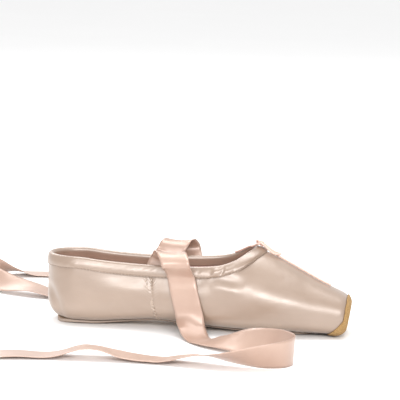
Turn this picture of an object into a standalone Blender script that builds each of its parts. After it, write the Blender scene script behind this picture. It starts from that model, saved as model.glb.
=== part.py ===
# Pointe shoe, one of a pair: satin upper on a leather sole, suede platform patch,
# drawstring casing round the collar, tied drawstring and two ankle ribbons laid down.
# Metres, +Z up, toe towards +X. The origin is on the floor under the heel's centre.

import math

import bmesh
import bpy
import numpy as np

# Driving dimensions
SHOE_LENGTH = 0.2408  # heel back to platform, without the platform patch
HEEL_BACK = 0.027  # heel centre to the heel's back
BALL_HALF_WIDTH = 0.0355
INSTEP_HEIGHT = 0.066
HEEL_HEIGHT = 0.0542
ARCH_RISE = 0.0042
TOE_DROP = 0.0018  # the box comes down again in front of the sole, to the platform's edge
WALL = 0.0018
GAP = 0.0003
INNER_GAP = 0.0007  # inside the upper, where its faces cut the corners of its curves
TIP_EDGE = 0.0060  # rounding of the platform's rim at its top and sides
TIP_UNDER_EDGE = 0.0085  # rounding of the rim where it rolls under the toe

SOLE_THICKNESS = 0.0020
SOLE_HEEL_SETBACK = 0.008
SOLE_TOE_SETBACK = 0.0255
SOLE_CHAMFER = 0.0003
LASTING_MARGIN = 0.006  # how far the upper reaches in over the sole
INSOLE_THICKNESS = 0.002
INSOLE_SETBACK = 0.003  # beyond the sole's own setback, at both ends
INSOLE_SPREAD = 0.003  # wider than the sole on each side

CASING_WIDTH = 0.0082
CASING_INSIDE = 0.0066
CASING_THICKNESS = 0.0008
CASING_GAP = 0.0004

PATCH_THICKNESS = 0.0009
PATCH_REACH = 0.0028  # back from the platform at the top and sides
PATCH_UNDER_REACH = 0.013  # back from the platform under the toe

CORD_DIAMETER = 0.0018
KNOT_LENGTH = 0.0075
KNOT_WIDTH = 0.0064
KNOT_HEIGHT = 0.0052
LOOP_LENGTH = 0.017
LOOP_WIDTH = 0.008
SHORT_END = 0.031

RIBBON_WIDTH = 0.022
RIBBON_THICKNESS = 0.0006
RIBBON_LENGTH = 0.50
RIBBON_CLEARANCE = 0.0005
RIBBON_ARCH = 0.010  # how high a ribbon stands over the collar before it falls

# Mesh steps
FINE_STEPS = 60
HEEL_STEPS = 7
QUARTER_STEPS = 17
VAMP_STEPS = 8
ROW_STEPS = 15
RIM_ANGLES = (0, 30, 60, 90)
FACE_SHARES = (0.55, 0.0)
PATCH_SHARES = (1.0, 0.75, 0.5, 0.3, 0.15, 0.04)
SOLE_STEPS = 24
CASING_ARC = (45, 90, 135)
RIBBON_STEPS = 100
CORD_STEP = 0.0025

FORE = SHOE_LENGTH - HEEL_BACK
CORD_RADIUS = CORD_DIAMETER / 2
THROAT = 0.6645  # share of FORE at which the opening ends
HEEL_LOW_POWER = 2.6
HEEL_HIGH_POWER = 3.5

# Sections of the last. along is a share of FORE, half_width of the ball's half width, belly and
# top of the instep height; behind the throat, top is that of the closed form the collar cuts.
SECTION_COLUMNS = ("along", "half_width", "belly", "top", "low_power", "high_power", "lean")
SECTIONS = np.array(
    (
        (0.00, 0.750, 0.33, 1.32, 3.2, 2.0, 0.00),
        (0.14, 0.745, 0.33, 1.30, 3.2, 2.0, 0.00),
        (0.28, 0.775, 0.34, 1.24, 3.0, 2.0, 0.00),
        (0.42, 0.870, 0.32, 1.17, 3.1, 2.0, 0.00),
        (0.55, 0.955, 0.29, 1.085, 3.1, 2.0, 0.00),
        (0.66, 1.000, 0.27, 1.015, 3.0, 1.95, 0.00),
        (0.78, 0.925, 0.26, 0.835, 3.0, 2.0, 0.00),
        (0.90, 0.770, 0.24, 0.637, 3.2, 2.15, 0.00),
        (1.00, 0.635, 0.225, 0.458, 3.6, 2.35, 0.15),
    )
)

# Collar line seen from the side: shares of the way to the throat and of the throat's height
COLLAR_LINE = np.array(
    (
        (0.00, 0.810),
        (0.13, 0.786),
        (0.24, 0.772),
        (0.41, 0.762),
        (0.60, 0.768),
        (0.74, 0.785),
        (0.82, 0.812),
        (0.89, 0.866),
        (0.93, 0.918),
        (0.968, 0.970),
        (1.00, 1.000),
    )
)

# Height of the sole's underside: shares of FORE and of the arch's rise
ARCH_LINE = np.array(
    (
        (0.00, 0.0),
        (0.05, 0.0),
        (0.11, 0.20),
        (0.18, 0.56),
        (0.25, 0.90),
        (0.31, 1.00),
        (0.39, 0.76),
        (0.50, 0.44),
        (0.60, 0.18),
        (0.70, 0.05),
        (0.76, 0.0),
        (0.90, 0.0),
        (1.00, 0.0),
    )
)

# The sole: shares of its length and of the ball's half width, the flat share of the half width
# and how far the skived edge is lifted, as a share of the sole's thickness
SOLE_COLUMNS = ("along", "half_width", "flat", "edge_lift")
SOLE_LINE = np.array(
    (
        (0.00, 0.440, 0.60, 0.70),
        (0.12, 0.440, 0.60, 0.70),
        (0.30, 0.350, 0.55, 0.75),
        (0.42, 0.350, 0.55, 0.75),
        (0.58, 0.465, 0.50, 0.80),
        (0.74, 0.540, 0.50, 0.90),
        (0.88, 0.500, 0.50, 0.85),
        (1.00, 0.430, 0.50, 0.60),
    )
)

# The drawstring's long end on the vamp: shares of the way from the throat to the tip and of the
# ball's half width, and the height over its resting height in cord diameters
LONG_END = (
    (0.030, 0.000, 1.75),
    (0.085, 0.000, 1.15),
    (0.145, 0.006, 0.66),
    (0.200, 0.012, 0.12),
    (0.260, 0.010, 0.0),
    (0.340, -0.004, 0.0),
    (0.430, -0.012, 0.0),
    (0.520, -0.006, 0.0),
    (0.610, -0.014, 0.0),
    (0.700, -0.030, 0.0),
    (0.800, -0.036, 0.0),
)

# The small loop of the bow: shares of the loop's length and width, and the lift as above
BOW_LOOP = (
    (0.00, -0.16, 2.10),
    (0.26, -0.42, 1.60),
    (0.50, -0.54, 1.00),
    (0.70, -0.54, 0.70),
    (0.88, -0.34, 1.05),
    (0.98, 0.00, 1.35),
    (0.92, 0.36, 1.05),
    (0.74, 0.58, 0.60),
    (0.54, 0.62, 0.75),
    (0.30, 0.50, 1.30),
    (0.02, 0.20, 2.10),
)

# A ribbon beside the wall: share of FORE, share of the collar's height, clearances off the wall
RIBBON_INSIDE = ((0.262, 0.50), (0.277, 0.66), (0.293, 0.83), (0.310, 1.00))
RIBBON_OVER = (  # shares of RIBBON_ARCH outwards from the inner wall and up from the collar
    (0.322, -0.03, 0.45),
    (0.335, 0.28, 1.06),
    (0.350, 0.90, 1.33),
    (0.366, 1.55, 1.08),
    (0.379, 1.86, 0.42),
)
RIBBON_OUTSIDE = ((0.393, 0.88, 5.0), (0.405, 0.68, 2.2), (0.418, 0.48, 1.8), (0.430, 0.30, 4.5))

# A ribbon on the floor, in shares of its length: forward and outwards from where it comes down,
# how far it leans up on its edge in degrees, and how high it stands off the floor
NEAR_FLOOR = (
    (0.006, 0.013, 0, 0.014),
    (0.018, 0.036, 0, 0.001),
    (0.040, 0.066, 8, 0.003),
    (0.076, 0.094, 30, 0.004),
    (0.116, 0.112, 62, 0.000),
    (0.154, 0.130, 82, 0.000),
    (0.176, 0.160, 88, 0.000),
    (0.166, 0.194, 80, 0.000),
    (0.128, 0.210, 60, 0.000),
    (0.080, 0.208, 30, 0.004),
    (0.030, 0.198, 8, 0.010),
    (-0.020, 0.192, 2, 0.002),
    (-0.075, 0.190, 0, 0.006),
    (-0.130, 0.192, 4, 0.014),
    (-0.185, 0.198, 2, 0.002),
    (-0.240, 0.208, 0, 0.004),
    (-0.300, 0.222, 0, 0.000),
    (-0.360, 0.240, 0, 0.000),
)
FAR_FLOOR = (
    (0.006, 0.013, 0, 0.014),
    (0.014, 0.036, 4, 0.001),
    (0.010, 0.066, 24, 0.004),
    (-0.012, 0.094, 58, 0.000),
    (-0.050, 0.110, 76, 0.000),
    (-0.096, 0.108, 66, 0.000),
    (-0.142, 0.098, 34, 0.004),
    (-0.192, 0.092, 8, 0.012),
    (-0.244, 0.094, 0, 0.003),
    (-0.296, 0.104, 6, 0.010),
    (-0.346, 0.122, 30, 0.003),
    (-0.390, 0.150, 64, 0.000),
    (-0.412, 0.190, 80, 0.000),
    (-0.400, 0.232, 60, 0.000),
    (-0.366, 0.262, 20, 0.002),
    (-0.320, 0.280, 0, 0.002),
    (-0.210, 0.292, 0, 0.002),
)


# Curves and sections


def through(table, column, at):
    """A smooth curve through a table's rows, level at the first row."""
    xs = table[:, 0]
    ys = table[:, column]
    slopes = np.empty(len(xs))
    slopes[1:-1] = (ys[2:] - ys[:-2]) / (xs[2:] - xs[:-2])
    slopes[0] = 0
    slopes[-1] = (ys[-1] - ys[-2]) / (xs[-1] - xs[-2])
    at = np.clip(at, xs[0], xs[-1])
    i = np.clip(np.searchsorted(xs, at, side="right") - 1, 0, len(xs) - 2)
    span = xs[i + 1] - xs[i]
    t = (at - xs[i]) / span
    return (
        (2 * t**3 - 3 * t**2 + 1) * ys[i]
        + (t**3 - 2 * t**2 + t) * span * slopes[i]
        + (3 * t**2 - 2 * t**3) * ys[i + 1]
        + (t**3 - t**2) * span * slopes[i + 1]
    )


def station(name, along):
    return through(SECTIONS, SECTION_COLUMNS.index(name), along)


def floor_rise(along):
    """Height of the sole's underside: flat under heel and ball, raised in the arch."""
    flat = (along <= ARCH_LINE[1, 0]) | ((along >= ARCH_LINE[-3, 0]) & (along <= ARCH_LINE[-2, 0]))
    drop = np.clip((along - ARCH_LINE[-2, 0]) / (1 - ARCH_LINE[-2, 0]), 0, 1) ** 2
    arch = np.where(flat, 0.0, np.maximum(through(ARCH_LINE, 1, along), 0.0))
    return ARCH_RISE * arch - TOE_DROP * drop


def body(along):
    """The named heights and widths of the last at a share of FORE."""
    bottom = floor_rise(along) + SOLE_THICKNESS + GAP
    return {
        "half": station("half_width", along) * BALL_HALF_WIDTH,
        "bottom": bottom,
        "belly": station("belly", along) * INSTEP_HEIGHT,
        "top": station("top", along) * INSTEP_HEIGHT,
        "low": station("low_power", along),
        "high": station("high_power", along),
        "lean": station("lean", along),
    }


def power_quarter(width, height, power):
    angle = np.linspace(0, math.pi / 2, FINE_STEPS)
    return width * np.cos(angle) ** (2 / power), height * np.sin(angle) ** (2 / power)


def section(along):
    """Points (x, y, z) of one side of a section, from its bottom to its closed top."""
    b = body(along)
    y_low, z_low = power_quarter(b["half"], b["belly"] - b["bottom"], b["low"])
    y_high, z_high = power_quarter(b["half"], b["top"] - b["belly"], b["high"])
    y = np.concatenate((y_low[::-1], y_high[1:]))
    z = np.concatenate((b["belly"] - z_low[::-1], b["belly"] + z_high[1:]))
    y[0] = y[-1] = 0
    x = along * FORE + b["lean"] * (z - b["bottom"])
    return np.column_stack((x, y, z))


def heel_reach(z):
    """How far the heel's back lies behind the heel's centre, at a height."""
    b = body(0.0)
    above = z > b["belly"]
    height = np.where(above, b["top"] - b["belly"], b["belly"] - b["bottom"])
    power = np.where(above, HEEL_HIGH_POWER, HEEL_LOW_POWER)
    share = np.clip(np.abs(z - b["belly"]) / height, 0, 1)
    return HEEL_BACK * (1 - share**power) ** (1 / power)


def heel_section(turn):
    """The section on a plane turned back about the heel's centre, 0 at the side."""
    points = section(0.0)
    x = -heel_reach(points[:, 2]) * math.sin(turn)
    y = points[:, 1] * math.cos(turn)
    return np.column_stack((x, y, points[:, 2]))


def throat_height():
    return float(body(THROAT)["top"])


def collar_height(along):
    if along <= 0:
        return HEEL_HEIGHT
    share = through(COLLAR_LINE, 1, along / THROAT)
    heel = HEEL_HEIGHT - COLLAR_LINE[0, 1] * throat_height()
    return throat_height() * share + heel * (1 - along / THROAT) ** 2


def collar_end(points, along):
    """Where a section meets the collar line, as a place in its list of points."""
    places = np.arange(len(points))
    if along >= THROAT:
        return places[-1]
    high = places >= FINE_STEPS - 1
    return np.interp(collar_height(along), points[high, 2], places[high])


def sole_start_x():
    return -HEEL_BACK + SOLE_HEEL_SETBACK


def sole_end_x():
    return FORE - SOLE_TOE_SETBACK


def rounded_half(x, start, end, half_at):
    """Half width of a flat outline with a round end at start and at end."""
    length = end - start
    share = np.clip((x - start) / length, 0, 1)
    half = half_at(share)
    heel_round = half_at(0.0)
    toe_round = half_at(1.0) * 1.2
    back = np.clip((x - start) / heel_round, 0, 1)
    front = np.clip((end - x) / toe_round, 0, 1)
    return half * np.sqrt(1 - (1 - back) ** 2) * np.sqrt(1 - (1 - front) ** 2)


def sole_half_at(share):
    return through(SOLE_LINE, 1, share) * BALL_HALF_WIDTH


def sole_half(x):
    return rounded_half(x, sole_start_x(), sole_end_x(), sole_half_at)


def sole_bottom(x, y):
    """Height of the sole's underside, flat in the middle and lifted at its skived edge."""
    share = np.clip((x - sole_start_x()) / (sole_end_x() - sole_start_x()), 0, 1)
    half = sole_half_at(share)
    flat = half * through(SOLE_LINE, SOLE_COLUMNS.index("flat"), share)
    lift = SOLE_THICKNESS * through(SOLE_LINE, SOLE_COLUMNS.index("edge_lift"), share)
    across = max(0.0, (abs(y) - flat) / (half - flat))
    return float(floor_rise(max(x, 0.0) / FORE) + lift * across**1.3)


def opening_half(x):
    """Half width of the upper's opening over the sole."""
    return max(0.0, float(sole_half(x)) - LASTING_MARGIN)


def feather_start(points, opening):
    places = np.arange(len(points))
    low = places <= FINE_STEPS - 1
    return float(np.interp(opening, points[low, 1], places[low]))


def rows_of(points, start, end, shares):
    """Points at shares of the length of a list of points, between two places in it."""
    places = np.arange(len(points))
    run = np.concatenate(((0,), np.cumsum(np.linalg.norm(np.diff(points, axis=0), axis=1))))
    first, last = np.interp((start, end), places, run)
    at = first + (last - first) * np.asarray(shares)
    return np.column_stack([np.interp(at, run, points[:, k]) for k in range(3)])


# Surface of the last


def gauge(p):
    """Below 0 inside the last, 0 on it and above 0 outside, for points behind the toe."""
    x, y, z = p
    if x < 0:
        side = np.interp(z, section(0.0)[:, 2], section(0.0)[:, 1])
        return math.hypot(x / heel_reach(z), y / side) - 1
    b = body(x / FORE)
    up = z - b["belly"]
    power = b["high"] if up > 0 else b["low"]
    height = b["top"] - b["belly"] if up > 0 else b["belly"] - b["bottom"]
    total = (abs(y) / b["half"]) ** power + (abs(up) / height) ** power
    return float(total ** (1 / power) - 1)


def onto_last(p):
    """A point near the last, moved onto it."""
    share = 1 / (1 + gauge(p))
    if p[0] < 0:
        return np.array((p[0] * share, p[1] * share, p[2]))
    belly = body(p[0] / FORE)["belly"]
    return np.array((p[0], p[1] * share, belly + (p[2] - belly) * share))


def unit(v):
    return v / np.linalg.norm(v)


def outward(p):
    step = 2e-5
    side = -1 if p[0] < 0 else 1  # both samples along X stay on one side of the heel's centre
    here = gauge(p)
    grad = [side * (gauge(p + (side * step, 0, 0)) - here)]
    for axis in (1, 2):
        offset = np.zeros(3)
        offset[axis] = step
        grad.append((gauge(p + offset) - gauge(p - offset)) / 2)
    return unit(np.array(grad))


def wall_y(x, z):
    """Half width of the last at a place along it and a height."""
    b = body(x / FORE)
    up = z - b["belly"]
    power = b["high"] if up > 0 else b["low"]
    height = b["top"] - b["belly"] if up > 0 else b["belly"] - b["bottom"]
    return float(b["half"] * (1 - min(1.0, abs(up) / height) ** power) ** (1 / power))


def under_height(x, y):
    """Height of the last's underside at a place on the sole's plan."""
    b = body(max(x, 0.0) / FORE)
    if x >= 0:
        share = min(1.0, abs(y) / b["half"])
        return float(b["belly"] - (b["belly"] - b["bottom"]) * (1 - share ** b["low"]) ** (1 / b["low"]))
    points = section(0.0)[1:FINE_STEPS]
    places = np.hypot(x / heel_reach(points[:, 2]), y / points[:, 1])
    return float(np.interp(-1.0, -places, points[:, 2]))


def vamp_point(along, y):
    """A point on top of the closed vamp, at a share of FORE and a distance to one side."""
    b = body(along)
    share = min(1.0, abs(y) / b["half"])
    z = b["belly"] + (b["top"] - b["belly"]) * (1 - share ** b["high"]) ** (1 / b["high"])
    return np.array((along * FORE + b["lean"] * (z - b["bottom"]), y, z))


def above_vamp(forward, y, lift):
    """A point over the vamp; forward is a share of the way from the throat to the tip."""
    along = THROAT + (1 - THROAT) * forward
    step = 1e-4
    here = vamp_point(along, y)
    ahead = vamp_point(along + step, y) - here
    aside = vamp_point(along, y + step) - vamp_point(along, y - step)
    return here + lift * unit(np.cross(ahead, aside))


# Meshes


def new_object(name, data, material):
    made = bpy.data.objects.new(name, data)
    made.data.materials.append(material)
    bpy.data.collections["pointe_shoe"].objects.link(made)
    return made


def mesh_object(name, grid, material, closed_rows=False, closed_ends=False, flip=False):
    """A mesh from rows of points of equal length. Points that coincide become one."""
    columns, rows = len(grid), len(grid[0])
    bm = bmesh.new()
    verts = [[bm.verts.new(p) for p in column] for column in grid]
    for j in range(columns - 1):
        for i in range(rows if closed_rows else rows - 1):
            k = (i + 1) % rows
            corners = [verts[j][i], verts[j + 1][i], verts[j + 1][k], verts[j][k]]
            bm.faces.new(corners[::-1] if flip else corners)
    if closed_ends:
        bm.faces.new(verts[0])
        bm.faces.new(verts[-1][::-1])
    bmesh.ops.remove_doubles(bm, verts=bm.verts, dist=2e-6)
    bmesh.ops.dissolve_degenerate(bm, edges=bm.edges, dist=1e-6)
    if closed_ends:
        bmesh.ops.recalc_face_normals(bm, faces=bm.faces)
    mesh = bpy.data.meshes.new(name)
    bm.to_mesh(mesh)
    bm.free()
    mesh.shade_smooth()
    return new_object(name, mesh, material)


def mirrored(obj):
    mirror = obj.modifiers.new("other_side", "MIRROR")
    mirror.use_axis = (False, True, False)
    mirror.merge_threshold = 0.00005
    return obj


def thickened(obj, thickness, offset):
    solid = obj.modifiers.new("wall", "SOLIDIFY")
    solid.thickness = thickness
    solid.offset = offset
    solid.use_even_offset = True
    return obj


def material(name, colour, roughness):
    made = bpy.data.materials.new(name)
    made.use_nodes = True
    shader = made.node_tree.nodes["Principled BSDF"]
    shader.inputs["Base Color"].default_value = (*colour, 1)
    shader.inputs["Roughness"].default_value = roughness
    shader.inputs["Metallic"].default_value = 0
    return made


# Upper


def quarter_turns():
    return np.linspace(math.pi / 2, 0, HEEL_STEPS + 1)[:-1]


def quarter_alongs():
    return THROAT * np.sin(np.linspace(0, math.pi / 2, QUARTER_STEPS + 1))


def upper_rows(points, along):
    start = feather_start(points, opening_half(along * FORE))
    return rows_of(points, start, collar_end(points, along), np.linspace(0, 1, ROW_STEPS + 1))


def heel_columns():
    """Columns of the upper round the heel, all open to the heel's opening over the sole."""
    return [upper_rows_heel(heel_section(turn)) for turn in quarter_turns()]


def upper_rows_heel(points):
    side = section(0.0)
    start = feather_start(side, opening_half(0.0))
    end = collar_end(side, 0.0)
    return rows_of(points, start, end, np.linspace(0, 1, ROW_STEPS + 1))


def under_share(points):
    """0 for rows above the widest place of the tip, rising to 1 at its bottom."""
    b = body(1.0)
    return np.clip((b["belly"] - points[:, 2]) / (b["belly"] - b["bottom"]), 0, 1)


def rim_radius(points):
    """Rounding of the platform's rim for each row: small on top, large under the toe."""
    return TIP_EDGE + (TIP_UNDER_EDGE - TIP_EDGE) * under_share(points) ** 2


def platform_flat():
    """Half width of the platform's middle, inside its two round ends."""
    b = body(1.0)
    return b["half"] - (b["belly"] - b["bottom"])


def tip_rows(back):
    """A column of points that lies back from the tip plane by a length for each row."""
    column = [upper_rows(section(1 - b / FORE), 1 - b / FORE)[i] for i, b in enumerate(back)]
    return np.array(column)


def tip_column(radii, back):
    """A column back from the tip plane, on the rounded rim where that is less than its radius."""
    angle = np.arcsin(np.clip(1 - back / radii, 0, 1))
    points = tip_rows(back)
    centre_z = body(1.0)["belly"]
    lean = body(1.0)["lean"]
    middle = np.column_stack(
        (
            points[:, 0] + lean * (centre_z - points[:, 2]),
            np.minimum(points[:, 1], platform_flat()),
            np.full(len(points), centre_z),
        )
    )
    arm = middle - points
    inset = (radii * (1 - np.cos(angle)))[:, None]
    return points + arm / np.linalg.norm(arm, axis=1)[:, None] * inset


def tip_columns():
    radii = rim_radius(upper_rows(section(1.0), 1.0))
    rim = [tip_column(radii, radii * (1 - math.sin(math.radians(a)))) for a in RIM_ANGLES]
    return radii, rim + face_columns(rim[-1])


def face_columns(edge):
    """Rings on the platform's face, from its edge in to its centre."""
    centre = edge.mean(axis=0) * (1, 0, 1)
    return [centre + (edge - centre) * share for share in FACE_SHARES]


def upper_columns():
    radii, tip = tip_columns()
    quarter = [upper_rows(section(a), a) for a in quarter_alongs()]
    last = 1 - 1.6 * TIP_UNDER_EDGE / FORE
    vamp = [upper_rows(section(a), a) for a in np.linspace(THROAT, last, VAMP_STEPS + 1)[1:]]
    blend = tip_rows(radii * 0.5 + 0.8 * TIP_UNDER_EDGE)
    return heel_columns() + quarter + vamp + [blend] + tip


def make_upper(satin):
    return thickened(mirrored(mesh_object("upper", upper_columns(), satin, flip=True)), WALL, -1)


# Sole and insole


def slab(name, start, end, half_at, top_at, bottom_at, chamfer, finish):
    """A flat piece of the sole from its half outline and its two surfaces."""
    steps = (1 - np.cos(np.linspace(0, math.pi, SOLE_STEPS + 1))) / 2
    grid = []
    for x in start + (end - start) * steps:
        half = float(half_at(x))
        cut = min(chamfer, half / 2)
        edge = half - cut
        top = [(x, half * f, top_at(x, half * f)) for f in (0, 0.3, 0.55, 0.75, 0.9)]
        rim_top = top_at(x, half)
        rim_bottom = bottom_at(x, half)
        top += [(x, edge, top_at(x, edge)), (x, half, rim_top - cut)]
        bottom = [(x, half, rim_bottom + cut)]
        bottom += [(x, edge * f, bottom_at(x, edge * f)) for f in (1, 0.8, 0.5, 0)]
        grid.append(top + bottom)
    return mirrored(mesh_object(name, grid, finish))


def make_sole(leather):
    return slab(
        "outsole",
        sole_start_x(),
        sole_end_x(),
        sole_half,
        lambda x, y: under_height(x, y) - GAP,
        sole_bottom,
        SOLE_CHAMFER,
        leather,
    )


def inner_floor(x, y):
    """Height of the upper's inner face over its underside, plus the gap to it."""
    step = 1e-4
    slope = (under_height(x, abs(y) + step) - under_height(x, abs(y))) / step
    return under_height(x, y) + WALL * math.hypot(1, slope) + INNER_GAP


def make_insole(cloth):
    start = sole_start_x() + INSOLE_SETBACK
    end = sole_end_x() - INSOLE_SETBACK

    return slab(
        "insole",
        start,
        end,
        lambda x: rounded_half(x, start, end, lambda s: sole_half_at(s) + INSOLE_SPREAD),
        lambda x, y: inner_floor(x, y) + INSOLE_THICKNESS,
        inner_floor,
        SOLE_CHAMFER,
        cloth,
    )


# Collar


def collar_edge():
    """The collar's edge on one side, from the heel's back to the throat."""
    heel = [column[-1] for column in heel_columns()]
    quarter = [upper_rows(section(a), a)[-1] for a in quarter_alongs()]
    return np.array(heel + quarter)


def collar_frames():
    """For each point of the collar's edge: the point, outwards, and down along the wall."""
    edge = collar_edge()
    other = edge * (1, -1, 1)
    whole = np.vstack((other[1:2], edge, other[-2:-1]))
    frames = []
    for i, p in enumerate(edge):
        along = unit(whole[i + 2] - whole[i])
        out = outward(p)
        down = unit(np.cross(out, along))
        frames.append((p, out, down))
    return frames


def casing_profile():
    """(down, out) points of the casing's U section, out from the upper's outer face."""
    outer = WALL / 2 + CASING_GAP + CASING_THICKNESS
    inner = WALL / 2 + CASING_GAP
    legs = (1.0, 0.5, 0.0)

    def arc(radius, angles):
        turned = [math.radians(a) for a in angles]
        return [(-radius * math.sin(a), radius * math.cos(a) - WALL / 2) for a in turned]

    outside = [(CASING_WIDTH * s, CASING_GAP + CASING_THICKNESS) for s in legs]
    roll = arc(outer, CASING_ARC)
    inside = [(CASING_INSIDE * s, -WALL - INNER_GAP - CASING_THICKNESS) for s in legs[::-1]]
    back = [(CASING_INSIDE * s, -WALL - INNER_GAP) for s in legs]
    under_roll = arc(inner, CASING_ARC[::-1])
    front = [(CASING_WIDTH * s, CASING_GAP) for s in legs[::-1]]
    return outside + roll + inside + back + under_roll + front


def casing_point(frame, down, out):
    p, normal, direction = frame
    if down <= 0:
        return p + direction * down + normal * out
    on = onto_last(p + direction * down)
    return on + outward(on) * out


def make_casing(satin):
    profile = casing_profile()
    grid = [[casing_point(frame, *place) for place in profile] for frame in collar_frames()]
    on_plane = np.array(grid)
    on_plane[0, :, 1] = 0
    on_plane[-1, :, 1] = 0
    return mirrored(mesh_object("collar_casing", on_plane, satin, closed_rows=True, flip=True))


# Platform patch


def make_patch(suede):
    points = upper_rows(section(1.0), 1.0)
    radii = rim_radius(points)
    reach = PATCH_REACH + (PATCH_UNDER_REACH - PATCH_REACH) * under_share(points) ** 1.25
    rim = [tip_column(radii, reach * share) for share in PATCH_SHARES + (0.0,)]
    patch = mirrored(mesh_object("platform_patch", rim + face_columns(rim[-1]), suede, flip=True))
    lift = patch.modifiers.new("gap", "DISPLACE")
    lift.strength = GAP
    lift.mid_level = 0
    return thickened(patch, PATCH_THICKNESS, 1)


# Drawstring


def smooth_line(points, step):
    """A smooth curve through points, with a point at every step of its length."""
    points = np.asarray(points, float)
    padded = np.vstack((2 * points[0] - points[1], points, 2 * points[-1] - points[-2]))
    line = []
    for i in range(1, len(padded) - 2):
        a, b, c, d = padded[i - 1 : i + 3]
        for t in np.linspace(0, 1, 24, endpoint=False):
            bend = (2 * a - 5 * b + 4 * c - d) * t**2 + (3 * b - a - 3 * c + d) * t**3
            line.append(0.5 * (2 * b + (c - a) * t + bend))
    line = np.array(line + [padded[-2]])
    run = np.concatenate(((0,), np.cumsum(np.linalg.norm(np.diff(line[:, :3], axis=0), axis=1))))
    at = np.linspace(0, run[-1], max(2, round(run[-1] / step) + 1))
    return np.column_stack([np.interp(at, run, line[:, k]) for k in range(line.shape[1])])


def tube(name, points, finish):
    curve = bpy.data.curves.new(name, "CURVE")
    curve.dimensions = "3D"
    curve.bevel_depth = CORD_RADIUS
    curve.bevel_resolution = 2
    curve.use_fill_caps = True
    spline = curve.splines.new("POLY")
    spline.points.add(len(points) - 1)
    for place, p in zip(spline.points, points):
        place.co = (*p, 1)
    return new_object(name, curve, finish)


def cord_lift(diameters):
    return GAP + CORD_RADIUS + diameters * CORD_DIAMETER


def knot_centre():
    lift = CASING_GAP + CASING_THICKNESS + GAP + KNOT_HEIGHT / 2
    return above_vamp(0.0, 0.0, lift)


def make_knot(cotton):
    centre = knot_centre()
    ahead = unit(vamp_point(THROAT + 0.01, 0) - vamp_point(THROAT, 0))
    bm = bmesh.new()
    bmesh.ops.create_uvsphere(bm, u_segments=12, v_segments=8, radius=0.5)
    bmesh.ops.scale(bm, vec=(KNOT_LENGTH, KNOT_WIDTH, KNOT_HEIGHT), verts=bm.verts)
    mesh = bpy.data.meshes.new("drawstring_knot")
    bm.to_mesh(mesh)
    bm.free()
    mesh.shade_smooth()
    knot = new_object("drawstring_knot", mesh, cotton)
    knot.location = centre
    knot.rotation_euler = (0, -math.atan2(ahead[2], ahead[0]), 0)
    return knot


def from_knot(route):
    """A cord's smooth line along a route, without what would lie in the knot."""
    centre = knot_centre()
    ahead = unit(vamp_point(THROAT + 0.01, 0) - vamp_point(THROAT, 0))
    up = np.array((-ahead[2], 0, ahead[0]))
    reach = 2 * GAP
    kept = []
    for p in smooth_line(route, CORD_STEP / 8):
        arm = p - centre
        share = math.hypot(
            arm @ ahead / (KNOT_LENGTH / 2 + reach),
            arm[1] / (KNOT_WIDTH / 2 + reach),
            arm @ up / (KNOT_HEIGHT / 2 + reach),
        )
        if share >= 1:
            kept.append(p)
    return smooth_line(kept, CORD_STEP)


def make_long_end(cotton):
    route = [above_vamp(f, side * BALL_HALF_WIDTH, cord_lift(lift)) for f, side, lift in LONG_END]
    return tube("drawstring_long_end", from_knot(route), cotton)


def make_bow_loop(cotton):
    reach = LOOP_LENGTH / ((1 - THROAT) * FORE)
    route = [above_vamp(f * reach, side * LOOP_WIDTH, cord_lift(lift)) for f, side, lift in BOW_LOOP]
    return tube("drawstring_loop", from_knot(route), cotton)


def make_short_end(cotton):
    """The short end, laid back on the rolled edge of the far side's casing."""
    frames = collar_frames()
    lift = WALL / 2 + CASING_GAP + CASING_THICKNESS + GAP + CORD_RADIUS
    centre = knot_centre()
    route = [centre]
    for p, out, down in frames[::-1]:
        away = np.linalg.norm(p - centre)
        rise = CORD_RADIUS * max(0.0, 1 - away / (3 * KNOT_LENGTH))
        if away > KNOT_LENGTH:
            route.append(p - down * (lift + rise) - out * WALL / 2)
    line = from_knot(route)
    return tube("drawstring_short_end", line[: round(SHORT_END / CORD_STEP) + 1], cotton)


# Ribbons


def ribbon_route(side, floor_rows):
    """Rows of (point, lean) along a ribbon; side is -1 for the near one and 1 for the far one."""
    skin = WALL + INNER_GAP + CASING_THICKNESS + 2 * RIBBON_CLEARANCE + RIBBON_THICKNESS / 2
    rows = []
    for along, share in RIBBON_INSIDE:
        z = collar_height(along) * share
        rows.append((along * FORE, wall_y(along * FORE, z) - skin, z, 0))
    for along, out, up in RIBBON_OVER:
        edge = wall_y(along * FORE, collar_height(along)) - skin
        rows.append((along * FORE, edge + out * RIBBON_ARCH, collar_height(along) + up * RIBBON_ARCH, 0))
    for along, share, clearances in RIBBON_OUTSIDE:
        z = collar_height(along) * share
        off = CASING_GAP + CASING_THICKNESS + clearances * RIBBON_CLEARANCE + RIBBON_THICKNESS / 2
        rows.append((along * FORE, wall_y(along * FORE, z) + off, z, 0))
    down_x, down_y = rows[-1][:2]
    for forward, out, lean, lift in floor_rows:
        turn = math.radians(lean)
        rest = RIBBON_WIDTH / 2 * math.sin(turn) + RIBBON_THICKNESS / 2 + GAP
        z = rest + lift * RIBBON_LENGTH
        rows.append((down_x + forward * RIBBON_LENGTH, down_y + out * RIBBON_LENGTH, z, turn))
    return np.array(rows) * (1, side, 1, 1)


def along_wall(p, side):
    """Level direction of the wall beside a point, towards the toe."""
    z = min(p[2], collar_height(p[0] / FORE))
    step = 0.002
    rise = wall_y(p[0] + step, z) - wall_y(p[0] - step, z)
    return unit(np.array((2 * step, side * rise, 0.0)))


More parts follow.
